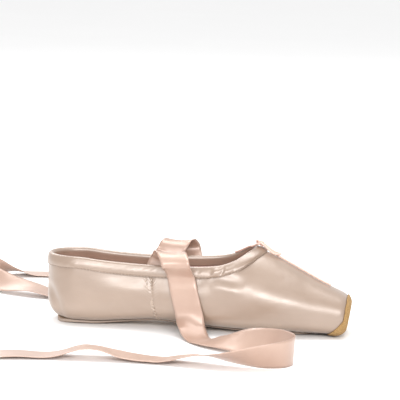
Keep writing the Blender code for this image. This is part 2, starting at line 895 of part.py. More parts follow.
def ribbon_sections(side, floor_rows):
    """The ribbon's outline at each step, cut to its length."""
    rows = ribbon_route(side, floor_rows)
    beside_wall = len(RIBBON_INSIDE) + len(RIBBON_OVER) + len(RIBBON_OUTSIDE)
    flags = np.arange(len(rows)) >= beside_wall
    line = smooth_line(np.column_stack((rows, flags)), RIBBON_LENGTH / RIBBON_STEPS)
    line = line[: RIBBON_STEPS + 1]
    grid = []
    for i, (*p, lean, on_floor) in enumerate(line):
        ahead = unit(line[min(i + 1, len(line) - 1), :3] - line[max(i - 1, 0), :3])
        share = np.clip(on_floor, 0, 1)
        level = unit(np.cross((0, 0, 1), ahead)) * -side
        lying = math.cos(lean) * level + math.sin(lean) * np.array((0, 0, 1))
        across = lying if share == 1 else lying * share + along_wall(p, side) * (1 - share)
        across = unit(across - (across @ ahead) * ahead)
        face = np.cross(ahead, across)
        grid.append(
            [
                p + across * RIBBON_WIDTH / 2 * a + face * RIBBON_THICKNESS / 2 * b
                for a, b in ((-1, -1), (1, -1), (1, 1), (-1, 1))
            ]
        )
    return grid


def make_ribbon(name, side, floor_rows, satin):
    return mesh_object(
        name, ribbon_sections(side, floor_rows), satin, closed_rows=True, closed_ends=True
    )


def main():
    for old in list(bpy.data.objects):
        bpy.data.objects.remove(old)
    bpy.context.scene.collection.children.link(bpy.data.collections.new("pointe_shoe"))
    satin = material("pink_satin", (0.78, 0.60, 0.52), 0.35)
    ribbon_satin = material("ribbon_satin", (0.80, 0.56, 0.46), 0.38)
    leather = material("sole_leather", (0.62, 0.50, 0.40), 0.7)
    suede = material("tan_suede", (0.56, 0.38, 0.16), 0.9)
    cloth = material("lining_cloth", (0.72, 0.62, 0.56), 0.9)
    cotton = material("drawstring_cotton", (0.85, 0.64, 0.55), 0.8)
    make_upper(satin)
    make_sole(leather)
    make_insole(cloth)
    make_casing(satin)
    make_patch(suede)
    make_knot(cotton)
    make_long_end(cotton)
    make_bow_loop(cotton)
    make_short_end(cotton)
    make_ribbon("ribbon_near", -1, NEAR_FLOOR, ribbon_satin)
    make_ribbon("ribbon_far", 1, FAR_FLOOR, ribbon_satin)


main()
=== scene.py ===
import math

import bmesh
import bpy
import numpy as np
from mathutils import Matrix, Vector, noise


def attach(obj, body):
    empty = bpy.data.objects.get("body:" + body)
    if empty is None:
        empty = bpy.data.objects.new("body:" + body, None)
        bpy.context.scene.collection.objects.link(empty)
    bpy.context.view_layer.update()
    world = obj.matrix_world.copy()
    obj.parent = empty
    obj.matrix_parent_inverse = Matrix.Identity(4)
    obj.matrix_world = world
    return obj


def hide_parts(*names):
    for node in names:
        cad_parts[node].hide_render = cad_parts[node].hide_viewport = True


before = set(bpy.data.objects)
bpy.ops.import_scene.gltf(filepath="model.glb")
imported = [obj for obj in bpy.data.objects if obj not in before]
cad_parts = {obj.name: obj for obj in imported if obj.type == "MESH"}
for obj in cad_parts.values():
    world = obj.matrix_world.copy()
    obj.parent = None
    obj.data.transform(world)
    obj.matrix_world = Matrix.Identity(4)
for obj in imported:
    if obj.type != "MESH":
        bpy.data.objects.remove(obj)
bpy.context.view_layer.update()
print("frame loaded")

# Camera: the photo's angle to the shoe, rolled a little
photoCamera = {
    "place": (0.2579, -1.56, 0.3462),
    "aim": (0.0941, 0.0, 0.1029),
    "roll": 1.75,
    "lens": 178.66,
    "sensor": 36,
    "reach": 30,
}


def turnedTo(place, aim):
    place = Vector(place)
    turn = (Vector(aim) - place).to_track_quat("-Z", "Y").to_matrix().to_4x4()
    return Matrix.Translation(place) @ turn


def makeCamera(look):
    data = bpy.data.cameras.new("photoCamera")
    data.lens = look["lens"]
    data.sensor_width = look["sensor"]
    data.clip_end = look["reach"]
    made = bpy.data.objects.new("photoCamera", data)
    roll = Matrix.Rotation(math.radians(look["roll"]), 4, "Z")
    made.matrix_world = turnedTo(look["place"], look["aim"]) @ roll
    bpy.context.scene.collection.objects.link(made)
    bpy.context.scene.camera = made


makeCamera(photoCamera)
print("camera placed")

# The last's sizes, in metres
last = {
    "heelBack": 0.027,
    "fore": 0.2138,
    "ballHalf": 0.0355,
    "instep": 0.066,
    "heelHeight": 0.0542,
    "archRise": 0.0042,
    "toeDrop": 0.0018,
    "wall": 0.0018,
    "gap": 0.0003,
    "innerGap": 0.0007,
    "tipEdge": 0.0060,
    "tipUnderEdge": 0.0085,
    "tipBlend": 1.6,  # where the walls start to turn in, in tip edges
    "throat": 0.6645,
    "heelLowPower": 2.6,
    "heelHighPower": 3.5,
    "lastingMargin": 0.006,
    "fineSteps": 90,
}

sole = {
    "thickness": 0.0020,
    "heelSetback": 0.008,
    "toeSetback": 0.0255,
    "toeRound": 1.2,  # the round front end, in half widths
    "liftPower": 1.3,
    "chamfer": 0.0003,
    "edgeThickness": 0.0032,
    "edgeTaper": 0.3,
    "edgePower": 6,
    "insoleThickness": 0.002,
    "insoleSetback": 0.003,
    "insoleSpread": 0.003,
    "steps": 110,
    "across": 13,
    "innerAcross": 0.92,
}

# along, half width, belly, top, lower power, upper power, lean
sectionTable = np.array(
    (
        (0.00, 0.750, 0.33, 1.32, 3.2, 2.0, 0.00),
        (0.14, 0.745, 0.33, 1.30, 3.2, 2.0, 0.00),
        (0.28, 0.775, 0.34, 1.24, 3.0, 2.0, 0.00),
        (0.42, 0.870, 0.32, 1.17, 3.1, 2.0, 0.00),
        (0.55, 0.955, 0.29, 1.085, 3.1, 2.0, 0.00),
        (0.66, 1.000, 0.27, 1.015, 3.0, 1.95, 0.00),
        (0.78, 0.925, 0.26, 0.835, 3.0, 2.0, 0.00),
        (0.90, 0.770, 0.24, 0.637, 3.2, 2.15, 0.00),
        (1.00, 0.635, 0.225, 0.458, 3.6, 2.35, 0.15),
    )
)

collarTable = np.array(
    (
        (0.00, 0.810),
        (0.13, 0.786),
        (0.24, 0.772),
        (0.41, 0.762),
        (0.60, 0.768),
        (0.74, 0.785),
        (0.82, 0.812),
        (0.89, 0.866),
        (0.93, 0.918),
        (0.968, 0.970),
        (1.00, 1.000),
    )
)

archTable = np.array(
    (
        (0.00, 0.0),
        (0.05, 0.0),
        (0.11, 0.20),
        (0.18, 0.56),
        (0.25, 0.90),
        (0.31, 1.00),
        (0.39, 0.76),
        (0.50, 0.44),
        (0.60, 0.18),
        (0.70, 0.05),
        (0.76, 0.0),
        (0.90, 0.0),
        (1.00, 0.0),
    )
)

# along, half width, flat share, edge lift
soleTable = np.array(
    (
        (0.00, 0.440, 0.60, 0.70),
        (0.12, 0.440, 0.60, 0.70),
        (0.30, 0.350, 0.55, 0.75),
        (0.42, 0.350, 0.55, 0.75),
        (0.58, 0.465, 0.50, 0.80),
        (0.74, 0.540, 0.50, 0.90),
        (0.88, 0.500, 0.50, 0.85),
        (1.00, 0.430, 0.50, 0.60),
    )
)


# The last's surface


def through(table, column, at):
    xs = table[:, 0]
    ys = table[:, column]
    slopes = np.empty(len(xs))
    slopes[1:-1] = (ys[2:] - ys[:-2]) / (xs[2:] - xs[:-2])
    slopes[0] = 0
    slopes[-1] = (ys[-1] - ys[-2]) / (xs[-1] - xs[-2])
    at = np.clip(at, xs[0], xs[-1])
    i = np.clip(np.searchsorted(xs, at, side="right") - 1, 0, len(xs) - 2)
    span = xs[i + 1] - xs[i]
    t = (at - xs[i]) / span
    return (
        (2 * t**3 - 3 * t**2 + 1) * ys[i]
        + (t**3 - 2 * t**2 + t) * span * slopes[i]
        + (3 * t**2 - 2 * t**3) * ys[i + 1]
        + (t**3 - t**2) * span * slopes[i + 1]
    )


def floorRise(along):
    flat = (along <= archTable[1, 0]) | ((along >= archTable[-3, 0]) & (along <= archTable[-2, 0]))
    drop = np.clip((along - archTable[-2, 0]) / (1 - archTable[-2, 0]), 0, 1) ** 2
    arch = np.where(flat, 0.0, np.maximum(through(archTable, 1, along), 0.0))
    return last["archRise"] * arch - last["toeDrop"] * drop


def body(along):
    return {
        "half": through(sectionTable, 1, along) * last["ballHalf"],
        "bottom": floorRise(along) + sole["thickness"] + last["gap"],
        "belly": through(sectionTable, 2, along) * last["instep"],
        "top": through(sectionTable, 3, along) * last["instep"],
        "low": through(sectionTable, 4, along),
        "high": through(sectionTable, 5, along),
        "lean": through(sectionTable, 6, along),
    }


def section(along):  # one side of a section, from its bottom to its closed top
    b = body(along)
    angle = np.linspace(0, math.pi / 2, last["fineSteps"])
    c, s = np.cos(angle), np.sin(angle)
    low, high = b["low"], b["high"]
    y = np.concatenate(((b["half"] * c ** (2 / low))[::-1], (b["half"] * c ** (2 / high))[1:]))
    down = ((b["belly"] - b["bottom"]) * s ** (2 / low))[::-1]
    up = ((b["top"] - b["belly"]) * s ** (2 / high))[1:]
    z = np.concatenate((b["belly"] - down, b["belly"] + up))
    y[0] = y[-1] = 0
    x = along * last["fore"] + b["lean"] * (z - b["bottom"])
    return np.column_stack((x, y, z))


def heelReach(z):
    b = body(0.0)
    above = z > b["belly"]
    height = np.where(above, b["top"] - b["belly"], b["belly"] - b["bottom"])
    power = np.where(above, last["heelHighPower"], last["heelLowPower"])
    share = np.clip(np.abs(z - b["belly"]) / height, 0, 1)
    return last["heelBack"] * (1 - share**power) ** (1 / power)


def heelSection(turn):
    points = section(0.0)
    x = -heelReach(points[:, 2]) * math.sin(turn)
    return np.column_stack((x, points[:, 1] * math.cos(turn), points[:, 2]))


throatHeight = float(body(last["throat"])["top"])


def collarHeight(along):
    if along <= 0:
        return last["heelHeight"]
    share = through(collarTable, 1, along / last["throat"])
    heel = last["heelHeight"] - collarTable[0, 1] * throatHeight
    return throatHeight * share + heel * (1 - along / last["throat"]) ** 2


def collarEnd(points, along):
    places = np.arange(len(points))
    if along >= last["throat"]:
        return places[-1]
    high = places >= last["fineSteps"] - 1
    return np.interp(collarHeight(along), points[high, 2], places[high])


soleStart = -last["heelBack"] + sole["heelSetback"]
soleEnd = last["fore"] - sole["toeSetback"]


def roundedHalf(x, start, end, halfAt):
    share = np.clip((x - start) / (end - start), 0, 1)
    back = np.clip((x - start) / halfAt(0.0), 0, 1)
    front = np.clip((end - x) / (halfAt(1.0) * sole["toeRound"]), 0, 1)
    return halfAt(share) * np.sqrt(1 - (1 - back) ** 2) * np.sqrt(1 - (1 - front) ** 2)


def soleHalfAt(share):
    return through(soleTable, 1, share) * last["ballHalf"]


def soleHalf(x):
    return roundedHalf(x, soleStart, soleEnd, soleHalfAt)


def soleBottom(x, y):
    share = np.clip((x - soleStart) / (soleEnd - soleStart), 0, 1)
    half = soleHalfAt(share)
    flat = half * through(soleTable, 2, share)
    lift = sole["thickness"] * through(soleTable, 3, share)
    across = max(0.0, (abs(y) - flat) / (half - flat))
    return float(floorRise(max(x, 0.0) / last["fore"]) + lift * across ** sole["liftPower"])


def openingHalf(x):
    return max(0.0, float(soleHalf(x)) - last["lastingMargin"])


def featherStart(points, opening):
    places = np.arange(len(points))
    low = places <= last["fineSteps"] - 1
    return float(np.interp(opening, points[low, 1], places[low]))


def runOf(points):  # how far along its line each point lies
    return np.concatenate(((0,), np.cumsum(np.linalg.norm(np.diff(points, axis=0), axis=1))))


def pointsAt(points, run, at):
    return np.column_stack([np.interp(at, run, column) for column in points.T])


def rowsOf(points, start, end, shares):
    run = runOf(points)
    first, final = np.interp((start, end), np.arange(len(points)), run)
    return pointsAt(points, run, first + (final - first) * np.asarray(shares))


def arcAt(b, z):  # how far z is above the belly, with that arc's height and power
    up = z - b["belly"]
    if up > 0:
        return up, b["top"] - b["belly"], b["high"]
    return up, b["belly"] - b["bottom"], b["low"]


def wallY(x, z):
    b = body(x / last["fore"])
    up, height, power = arcAt(b, z)
    return float(b["half"] * (1 - min(1.0, abs(up) / height) ** power) ** (1 / power))


def gauge(p):  # 0 on the last's surface, less inside and more outside
    x, y, z = p
    if x < 0:
        points = section(0.0)
        return math.hypot(x / heelReach(z), y / np.interp(z, points[:, 2], points[:, 1])) - 1
    b = body(x / last["fore"])
    up, height, power = arcAt(b, z)
    return float(((abs(y) / b["half"]) ** power + (abs(up) / height) ** power) ** (1 / power) - 1)


def ontoLast(p):
    share = 1 / (1 + gauge(p))
    if p[0] < 0:
        return np.array((p[0] * share, p[1] * share, p[2]))
    belly = body(p[0] / last["fore"])["belly"]
    return np.array((p[0], p[1] * share, belly + (p[2] - belly) * share))


def unit(v):
    return v / np.linalg.norm(v)


def outward(p):
    step = 2e-5
    side = -1 if p[0] < 0 else 1
    here = gauge(p)
    slope = [side * (gauge(p + (side * step, 0, 0)) - here)]
    for axis in (1, 2):
        offset = np.zeros(3)
        offset[axis] = step
        slope.append((gauge(p + offset) - gauge(p - offset)) / 2)
    return unit(np.array(slope))


def underHeight(x, y):
    b = body(max(x, 0.0) / last["fore"])
    if x >= 0:
        share = min(1.0, abs(y) / b["half"])
        depth = b["belly"] - b["bottom"]
        return float(b["belly"] - depth * (1 - share ** b["low"]) ** (1 / b["low"]))
    points = section(0.0)[1 : last["fineSteps"]]
    places = np.hypot(x / heelReach(points[:, 2]), y / points[:, 1])
    return float(np.interp(-1.0, -places, points[:, 2]))


def vampPoint(along, y):
    b = body(along)
    share = min(1.0, abs(y) / b["half"])
    z = b["belly"] + (b["top"] - b["belly"]) * (1 - share ** b["high"]) ** (1 / b["high"])
    return np.array((along * last["fore"] + b["lean"] * (z - b["bottom"]), y, z))


def aboveVamp(forward, y, lift):  # forward is a share of the way from the throat to the tip
    along = last["throat"] + (1 - last["throat"]) * forward
    step = 1e-4
    here = vampPoint(along, y)
    ahead = vampPoint(along + step, y) - here
    aside = vampPoint(along, y + step) - vampPoint(along, y - step)
    return here + lift * unit(np.cross(ahead, aside))


def smoothLine(points, step):  # a smooth curve through the points, cut in equal steps
    points = np.asarray(points, float)
    padded = np.vstack((2 * points[0] - points[1], points, 2 * points[-1] - points[-2]))
    line = []
    for i in range(1, len(padded) - 2):
        a, b, c, d = padded[i - 1 : i + 3]
        for t in np.linspace(0, 1, 24, endpoint=False):
            bend = (2 * a - 5 * b + 4 * c - d) * t**2 + (3 * b - a - 3 * c + d) * t**3
            line.append(0.5 * (2 * b + (c - a) * t + bend))
    line = np.array(line + [padded[-2]])
    run = runOf(line[:, :3])
    return pointsAt(line, run, np.linspace(0, run[-1], max(2, round(run[-1] / step) + 1)))


# Materials


class Wire:  # a node's output, used in sums like a number
    def __init__(self, graph, socket):
        self.graph = graph
        self.socket = socket

    def __add__(self, other):
        return self.graph.add("ShaderNodeMath", {"operation": "ADD"}, {0: self, 1: other})

    __radd__ = __add__

    def __mul__(self, other):
        return self.graph.add("ShaderNodeMath", {"operation": "MULTIPLY"}, {0: self, 1: other})

    __rmul__ = __mul__


class Graph:  # a material's nodes
    def __init__(self, name):
        self.made = bpy.data.materials.new(name)
        self.made.use_nodes = True
        self.tree = self.made.node_tree
        self.place = self.add("ShaderNodeTexCoord", output="Object")

    def give(self, socket, value):
        if isinstance(value, Wire):
            self.tree.links.new(value.socket, socket)
        else:
            socket.default_value = value

    def add(self, kind, settings=None, sockets=None, output=0):
        node = self.tree.nodes.new(kind)
        for key, value in (settings or {}).items():
            setattr(node, key, value)
        for key, value in (sockets or {}).items():
            self.give(node.inputs[key], value)
        return Wire(self, node.outputs[output])

    def stretched(self, scale):
        return self.add("ShaderNodeMapping", {}, {0: self.place, 3: scale})

    def cloud(self, place, scale, detail=2, roughness=0.5):
        return self.add("ShaderNodeTexNoise", {}, {0: place, 2: scale, 3: detail, 4: roughness})

    def blend(self, factor, first, second):
        first, second = ((*c, 1) if isinstance(c, tuple) else c for c in (first, second))
        return self.add("ShaderNodeMix", {"data_type": "RGBA"}, {0: factor, 6: first, 7: second}, 2)

    def span(self, value, low, high, newLow=0.0, newHigh=1.0):
        values = {0: value, 1: low, 2: high, 3: newLow, 4: newHigh}
        return self.add("ShaderNodeMapRange", {}, values)

    def attribute(self, name):
        return self.add("ShaderNodeAttribute", {"attribute_name": name}, {}, 2)

    def bump(self, height, strength, distance):
        values = {"Strength": strength, "Distance": distance, "Height": height}
        return self.add("ShaderNodeBump", {}, values)

    def finish(self, **values):
        shader = self.tree.nodes["Principled BSDF"]
        for key, value in values.items():
            self.give(shader.inputs[key.replace("_", " ")], value)
        return self.made


satinLook = {
    "colour": (0.287, 0.196, 0.138),
    "pale": (0.325, 0.226, 0.164),
    "deep": (0.252, 0.167, 0.115),
    "roughness": 0.37,
    "metallic": 0.12,
    "ior": 2.1,
    "coat": 0.45,
    "coatRoughness": 0.30,
}


weave = {
    "patchScale": 22,
    "mottleScale": 90,
    "mottleStretch": (1, 1, 1.6),
    "threads": (160, 1500, 1500),  # long along the shoe
    "threadShare": 0.25,
    "softScale": 160,
    "strength": 0.25,
    "height": 0.0004,
    "sheen": 0.12,
    "sheenRoughness": 0.35,
}


def satinMaterial(name, look):
    g = Graph(name)
    patches = g.cloud(g.place, weave["patchScale"], 3)
    mottle = g.cloud(g.stretched(weave["mottleStretch"]), weave["mottleScale"], 4, 0.6)
    colour = g.blend(g.span(patches, 0.3, 0.7), look["deep"], look["pale"])
    colour = g.blend(g.span(mottle, 0.25, 0.75, 0.0, 0.5), colour, look["colour"])
    # painted shade: where the look gives one, the colour turns darker brown across an x span, for
    # satin turned away from the light
    if "throat" in look:
        along = g.add("ShaderNodeSeparateXYZ", {}, {0: g.place})
        colour = g.blend(g.span(along, *look["throatShadeX"]), colour, look["throat"])
    threads = g.cloud(g.stretched(weave["threads"]), 1.0, 2)
    relief = threads * weave["threadShare"] + g.cloud(g.place, weave["softScale"], 3)
    return g.finish(
        Base_Color=colour,
        Roughness=g.span(mottle, 0.3, 0.7, look["roughness"] - 0.05, look["roughness"] + 0.07),
        Metallic=look["metallic"],
        IOR=look["ior"],
        Sheen_Weight=weave["sheen"],
        Sheen_Roughness=weave["sheenRoughness"],
        Coat_Weight=look["coat"],
        Coat_Roughness=look["coatRoughness"],
        Normal=g.bump(relief, weave["strength"], weave["height"]),
    )


# Painted shade: the binding is coloured darker and browner where it turns over the throat, away
# from the light
bindingShadedLook = dict(satinLook, throat=(0.195, 0.112, 0.062), throatShadeX=(0.128, 0.138))

ribbonLook = {
    "colour": (0.43, 0.280, 0.212),
    "pale": (0.49, 0.332, 0.256),
    "deep": (0.37, 0.230, 0.169),
    "roughness": 0.40,
    "metallic": 0.18,
    "ior": 1.9,
    "coat": 0.35,
    "coatRoughness": 0.34,
}


# colour, dark colour, size of the patches, roughness, size and height of the grain
clothLooks = {
    "liningCotton": ((0.74, 0.48, 0.46), (0.62, 0.39, 0.38), 60, 0.9, 1400, 0.0002),
    "tanSuede": ((0.40, 0.245, 0.100), (0.235, 0.135, 0.045), 900, 0.92, 1800, 0.0003),
    "threadCotton": ((0.33, 0.245, 0.19), (0.21, 0.155, 0.12), 500, 0.6, 4000, 0.0001),
    "insoleCloth": ((0.55, 0.42, 0.36), (0.46, 0.34, 0.29), 60, 0.88, 1300, 0.0002),
    "seamCotton": ((0.72, 0.60, 0.50), (0.42, 0.33, 0.27), 500, 0.6, 4000, 0.0001),
    "cordCotton": ((0.74, 0.52, 0.44), (0.61, 0.42, 0.35), 300, 0.75, 2500, 0.0002),
    "paleFloor": ((0.96, 0.96, 0.96), (0.95, 0.95, 0.95), 3, 0.8, 40, 0.0001),
}

leatherLook = {
    "colour": (0.52, 0.38, 0.27),
    "dark": (0.42, 0.30, 0.21),
    # painted shade: a darker, greyer colour along the sole's rim
    "edge": (0.36, 0.28, 0.23),
    "patchScale": 70,
    "grainScale": 900,
    "roughness": (0.57, 0.67),
    "height": 0.0002,
}


def plainMaterial(name, colour, dark, scale, roughness, bumpScale, bumpHeight):
    g = Graph(name)
    tone = g.cloud(g.place, scale, 4, 0.6)
    grain = g.cloud(g.place, bumpScale, 3, 0.6)
    return g.finish(
        Base_Color=g.blend(g.span(tone, 0.3, 0.7), dark, colour),
        Roughness=g.span(grain, 0.3, 0.7, roughness - 0.05, roughness + 0.05),
        Normal=g.bump(grain, 0.5, bumpHeight),
    )


def leatherMaterial(name, look):
    g = Graph(name)
    patches = g.cloud(g.place, look["patchScale"], 4, 0.6)
    tone = g.blend(g.span(patches, 0.3, 0.7), look["dark"], look["colour"])
    grain = g.cloud(g.place, look["grainScale"], 3, 0.6)
    return g.finish(
        # painted shade: the darker edge colour is laid along the rim that the attribute marks
        Base_Color=g.blend(g.attribute("rimShade"), tone, look["edge"]),
        Roughness=g.span(grain, 0.3, 0.7, *look["roughness"]),
        Normal=g.bump(grain, 0.5, look["height"]),
    )


satin = satinMaterial("pinkSatin", satinLook)
bindingSatinWithShade = satinMaterial("bindingSatinWithShade", bindingShadedLook)
ribbonSatin = satinMaterial("ribbonSatin", ribbonLook)
leather = leatherMaterial("soleLeather", leatherLook)
cloths = {name: plainMaterial(name, *look) for name, look in clothLooks.items()}
print("materials made")


# Mesh building


def linked(name, data, *finishes):
    made = bpy.data.objects.new(name, data)
    for finish in finishes:
        made.data.materials.append(finish)
    bpy.context.scene.collection.objects.link(made)
    return made


def gridFaces(bm, grid, roundColumns=False, roundRows=False, flip=False):
    columns, rows = len(grid), len(grid[0])
    verts = [[bm.verts.new(p) for p in column] for column in grid]
    for j in range(columns if roundColumns else columns - 1):
        for i in range(rows if roundRows else rows - 1):
            k, m = (i + 1) % rows, (j + 1) % columns
            corners = [verts[j][i], verts[m][i], verts[m][k], verts[j][k]]
            bm.faces.new(corners[::-1] if flip else corners)
    return verts


def merged(bm, distance=2e-6):
    bmesh.ops.remove_doubles(bm, verts=bm.verts, dist=distance)
    bmesh.ops.dissolve_degenerate(bm, edges=bm.edges, dist=distance / 2)
    bm.normal_update()
    bm.verts.index_update()
    bm.verts.ensure_lookup_table()


def bothSides(grid, flip):  # a half and its mirror image, joined at the centre plane
    bm = bmesh.new()
    gridFaces(bm, grid, flip=flip)
    gridFaces(bm, grid * (1, -1, 1), flip=not flip)
    merged(bm)
    return bm


def placesAndNormals(bm):
    return np.array([v.co for v in bm.verts]), np.array([v.normal for v in bm.verts])


def sameOnBothSides(p):  # a key that a place shares with its mirror image
    return tuple(np.round((p[0], abs(p[1]), p[2]), 6))


def meshFrom(bm, name, *finishes):
    data = bpy.data.meshes.new(name)
    bm.to_mesh(data)
    bm.free()
    data.shade_smooth()
    return linked(name, data, *finishes)


def wallBetween(bm, name, outer, inner, *finishes):  # a closed wall: two places for each vertex
    faces = [[v.index for v in face.verts] for face in bm.faces]
    edges = []
    for edge in bm.edges:
        if len(edge.link_faces) == 1:
            loop = edge.link_loops[0]
            edges.append((loop.vert.index, loop.link_loop_next.vert.index))
    bm.free()
    count = len(outer)
    allFaces = faces + [[count + i for i in face[::-1]] for face in faces]
    allFaces += [[b, a, count + a, count + b] for a, b in edges]
    data = bpy.data.meshes.new(name)
    data.from_pydata(np.vstack((outer, inner)).tolist(), [], allFaces)
    if len(finishes) == 2:  # outside and inside
        slots = [0] * len(faces) + [1] * len(faces) + [0] * len(edges)
        data.polygons.foreach_set("material_index", slots)
    data.shade_smooth()
    return linked(name, data, *finishes)


# Upper

upper = {
    "heelColumns": 26,
    "quarterColumns": 80,
    "seamColumns": 30,
    "seamX": (0.052, 0.070),
    "seamClear": 0.003,
    "vampColumns": 44,
    "blendShares": (0.35, 0.7),
    "rimRings": 9,
    "faceRings": 9,
    "rows": 80,
    "ripple": 0.00022,
    "rippleScale": 55,
    "smallRipple": 0.00006,
    "smallScale": 190,
    "calmX": (0.185, 0.205),  # the ripples die out towards the tip
    "calmLeast": 0.15,
    "liningFollow": 0.5,  # how far the inside follows a trough
}

creaseShape = {"step": 0.001, "endPower": 0.8, "shoulder": 0.45, "shoulderAt": 1.9}

# side, depth inwards (below 0 a ridge), half width, and places (x, z) along the side
creases = (
    (-1, 0.0010, 0.0042, ((0.108, 0.0466), (0.121, 0.0444), (0.135, 0.0418))),
    (
        -1,
        -0.0013,
        0.0105,
        ((0.100, 0.046), (0.119, 0.0415), (0.1435, 0.0342), (0.171, 0.0285), (0.206, 0.0195)),
    ),
    (1, 0.0013, 0.0032, ((0.110, 0.0464), (0.122, 0.0444), (0.135, 0.0416))),
    (
        1,
        -0.0011,
        0.0085,
        ((0.101, 0.045), (0.120, 0.0410), (0.145, 0.0338), (0.172, 0.0280), (0.204, 0.0200)),
    ),
    (-1, 0.0012, 0.0042, ((-0.025, 0.034), (-0.018, 0.021), (-0.0105, 0.0040))),
    (1, 0.0011, 0.0044, ((-0.0255, 0.033), (-0.019, 0.020), (-0.012, 0.005))),
    (-1, 0.0003, 0.0034, ((0.024, 0.013), (0.046, 0.017), (0.060, 0.015))),
    (1, 0.0003, 0.0034, ((0.020, 0.014), (0.040, 0.018), (0.058, 0.015))),
    (-1, 0.0004, 0.0040, ((0.070, 0.010), (0.090, 0.014), (0.112, 0.012))),
    (1, 0.0004, 0.0040, ((0.072, 0.011), (0.092, 0.015), (0.110, 0.012))),
)

# The satin is drawn in under the binding and swells below it
drawIn = {
    "collarDepth": 0.0077,  # where it starts, under the collar's edge
    "depth": 0.0012,
    "width": 0.0078,
    "swell": 0.0009,
    "below": 0.0135,
    "reach": 0.0085,
    "from": 0.022,
    "fadeIn": 0.04,
    "to": 0.108,
    "fadeOut": 0.024,
}

# Side seams, from the binding down to the sole, and the row of stitches behind each
seam = {
    "path": (
        (0.0596, 0.0425),
        (0.0602, 0.0330),
        (0.0616, 0.0235),
        (0.0636, 0.0135),
        (0.0668, 0.0045),
    ),
    "behind": ((0.0545, 0.0422), (0.0572, 0.0343), (0.0598, 0.0249), (0.0622, 0.0160)),
    "step": 0.0008,
    "middleX": 0.061,
    "reachX": 0.02,
    "depth": 0.00055,
    "width": 0.0008,
    "pucker": 0.00032,
    "puckerLength": 0.0024,
    "puckerWidth": 0.0045,
    "puckerSlant": 2250,  # radians for each metre away from the seam
    "backX": -0.02,
    "backDepth": 0.0003,
    "backWidth": 0.0008,
    "backZ": (0.010, 0.046),
    "backStep": 0.0018,
    "backApart": 0.0013,
    "zig": 0.0010,
    "stitch": 0.0015,
    "thread": 0.00025,
    "lift": 0.00002,
    "liftBehind": 0.00008,
}

pleats = {
    "count": 13,
    "depth": 0.0011,
    "from": 0.005,
    "to": 0.017,
    "fade": 0.006,
    "centreBack": 0.012,
    "level": 0.6,
    "rimAlong": 0.95,
    "rimShare": 0.55,
    "rimFade": 0.004,
}


def upperRows(points, along):
    start = featherStart(points, openingHalf(along * last["fore"]))
    shares = np.linspace(0, 1, upper["rows"] + 1)
    return rowsOf(points, start, collarEnd(points, along), shares)


def heelRows(points):
    side = section(0.0)
    start = featherStart(side, openingHalf(0.0))
    shares = np.linspace(0, 1, upper["rows"] + 1)
    return rowsOf(points, start, collarEnd(side, 0.0), shares)


def heelTurns():
    return np.linspace(math.pi / 2, 0, upper["heelColumns"] + 1)[:-1]


def quarterAlongs():
    even = last["throat"] * np.sin(np.linspace(0, math.pi / 2, upper["quarterColumns"] + 1))
    atSeam = np.linspace(*upper["seamX"], upper["seamColumns"]) / last["fore"]
    clear = (even < atSeam[0] - upper["seamClear"]) | (even > atSeam[-1] + upper["seamClear"])
    return np.sort(np.concatenate((even[clear], atSeam)))


def underShare(points):
    b = body(1.0)
    return np.clip((b["belly"] - points[:, 2]) / (b["belly"] - b["bottom"]), 0, 1)


def rimRadius(points):
    return last["tipEdge"] + (last["tipUnderEdge"] - last["tipEdge"]) * underShare(points) ** 2


def tipRows(back):
    along = 1 - back / last["fore"]
    return np.array([upperRows(section(a), a)[i] for i, a in enumerate(along)])


def tipColumn(radii, back):  # on the rounded rim where back is less than its radius
    angle = np.arcsin(np.clip(1 - back / radii, 0, 1))
    points = tipRows(back)
    b = body(1.0)
    middle = np.column_stack(
        (
            points[:, 0] + b["lean"] * (b["belly"] - points[:, 2]),
            np.minimum(points[:, 1], b["half"] - (b["belly"] - b["bottom"])),
            np.full(len(points), b["belly"]),
        )
    )
    arm = middle - points
    inset = (radii * (1 - np.cos(angle)))[:, None]
    return points + arm / np.linalg.norm(arm, axis=1)[:, None] * inset


tipEdgeRows = upperRows(section(1.0), 1.0)
tipRadii = rimRadius(tipEdgeRows)
rimTurns = np.linspace(0, math.pi / 2, upper["rimRings"])
rimColumns = [tipColumn(tipRadii, tipRadii * (1 - math.sin(turn))) for turn in rimTurns]
tipCentre = rimColumns[-1].mean(axis=0) * (1, 0, 1)
faceShares = np.linspace(1, 0, upper["faceRings"] + 1)[1:]
tipFace = [tipCentre + (rimColumns[-1] - tipCentre) * share for share in faceShares]


def upperGrid():
    heel = [heelRows(heelSection(turn)) for turn in heelTurns()]
    quarter = [upperRows(section(a), a) for a in quarterAlongs()]
    start = last["tipBlend"] * last["tipUnderEdge"]
    vamp = np.linspace(last["throat"], 1 - start / last["fore"], upper["vampColumns"] + 1)[1:]
    middle = [upperRows(section(a), a) for a in vamp]
    blend = [tipRows(tipRadii * share + start * (1 - share)) for share in upper["blendShares"]]
    return np.array(heel + quarter + middle + blend + rimColumns + tipFace)


def wallPoint(x, z, side):
    if x >= 0:
        return np.array((x, side * wallY(x, z), z))
    points = section(0.0)
    half = np.interp(z, points[:, 2], points[:, 1])
    reach = float(heelReach(z))
    return np.array((x, side * half * math.sqrt(max(0.0, 1 - (x / reach) ** 2)), z))


def sideLine(path, side, step):  # a path (x, z) laid on one side of the last
    return np.array([wallPoint(x, z, side) for x, z in smoothLine(path, step)])


def creaseHeights(points):
    total = np.zeros(len(points))
    for side, depth, width, path in creases:
        line = sideLine(path, side, creaseShape["step"])
        gaps = np.linalg.norm(points[:, None] - line[None], axis=2)
        chord = line[-1] - line[0]
        share = np.clip((points - line[0]) @ chord / (chord @ chord), 0, 1)
        ends = np.sin(np.pi * share) ** creaseShape["endPower"]
        away = gaps.min(axis=1) / width
        shoulder = creaseShape["shoulder"] * np.exp(-((away - creaseShape["shoulderAt"]) ** 2))
        total += depth * ends * (shoulder - np.exp(-(away**2)))
    return total


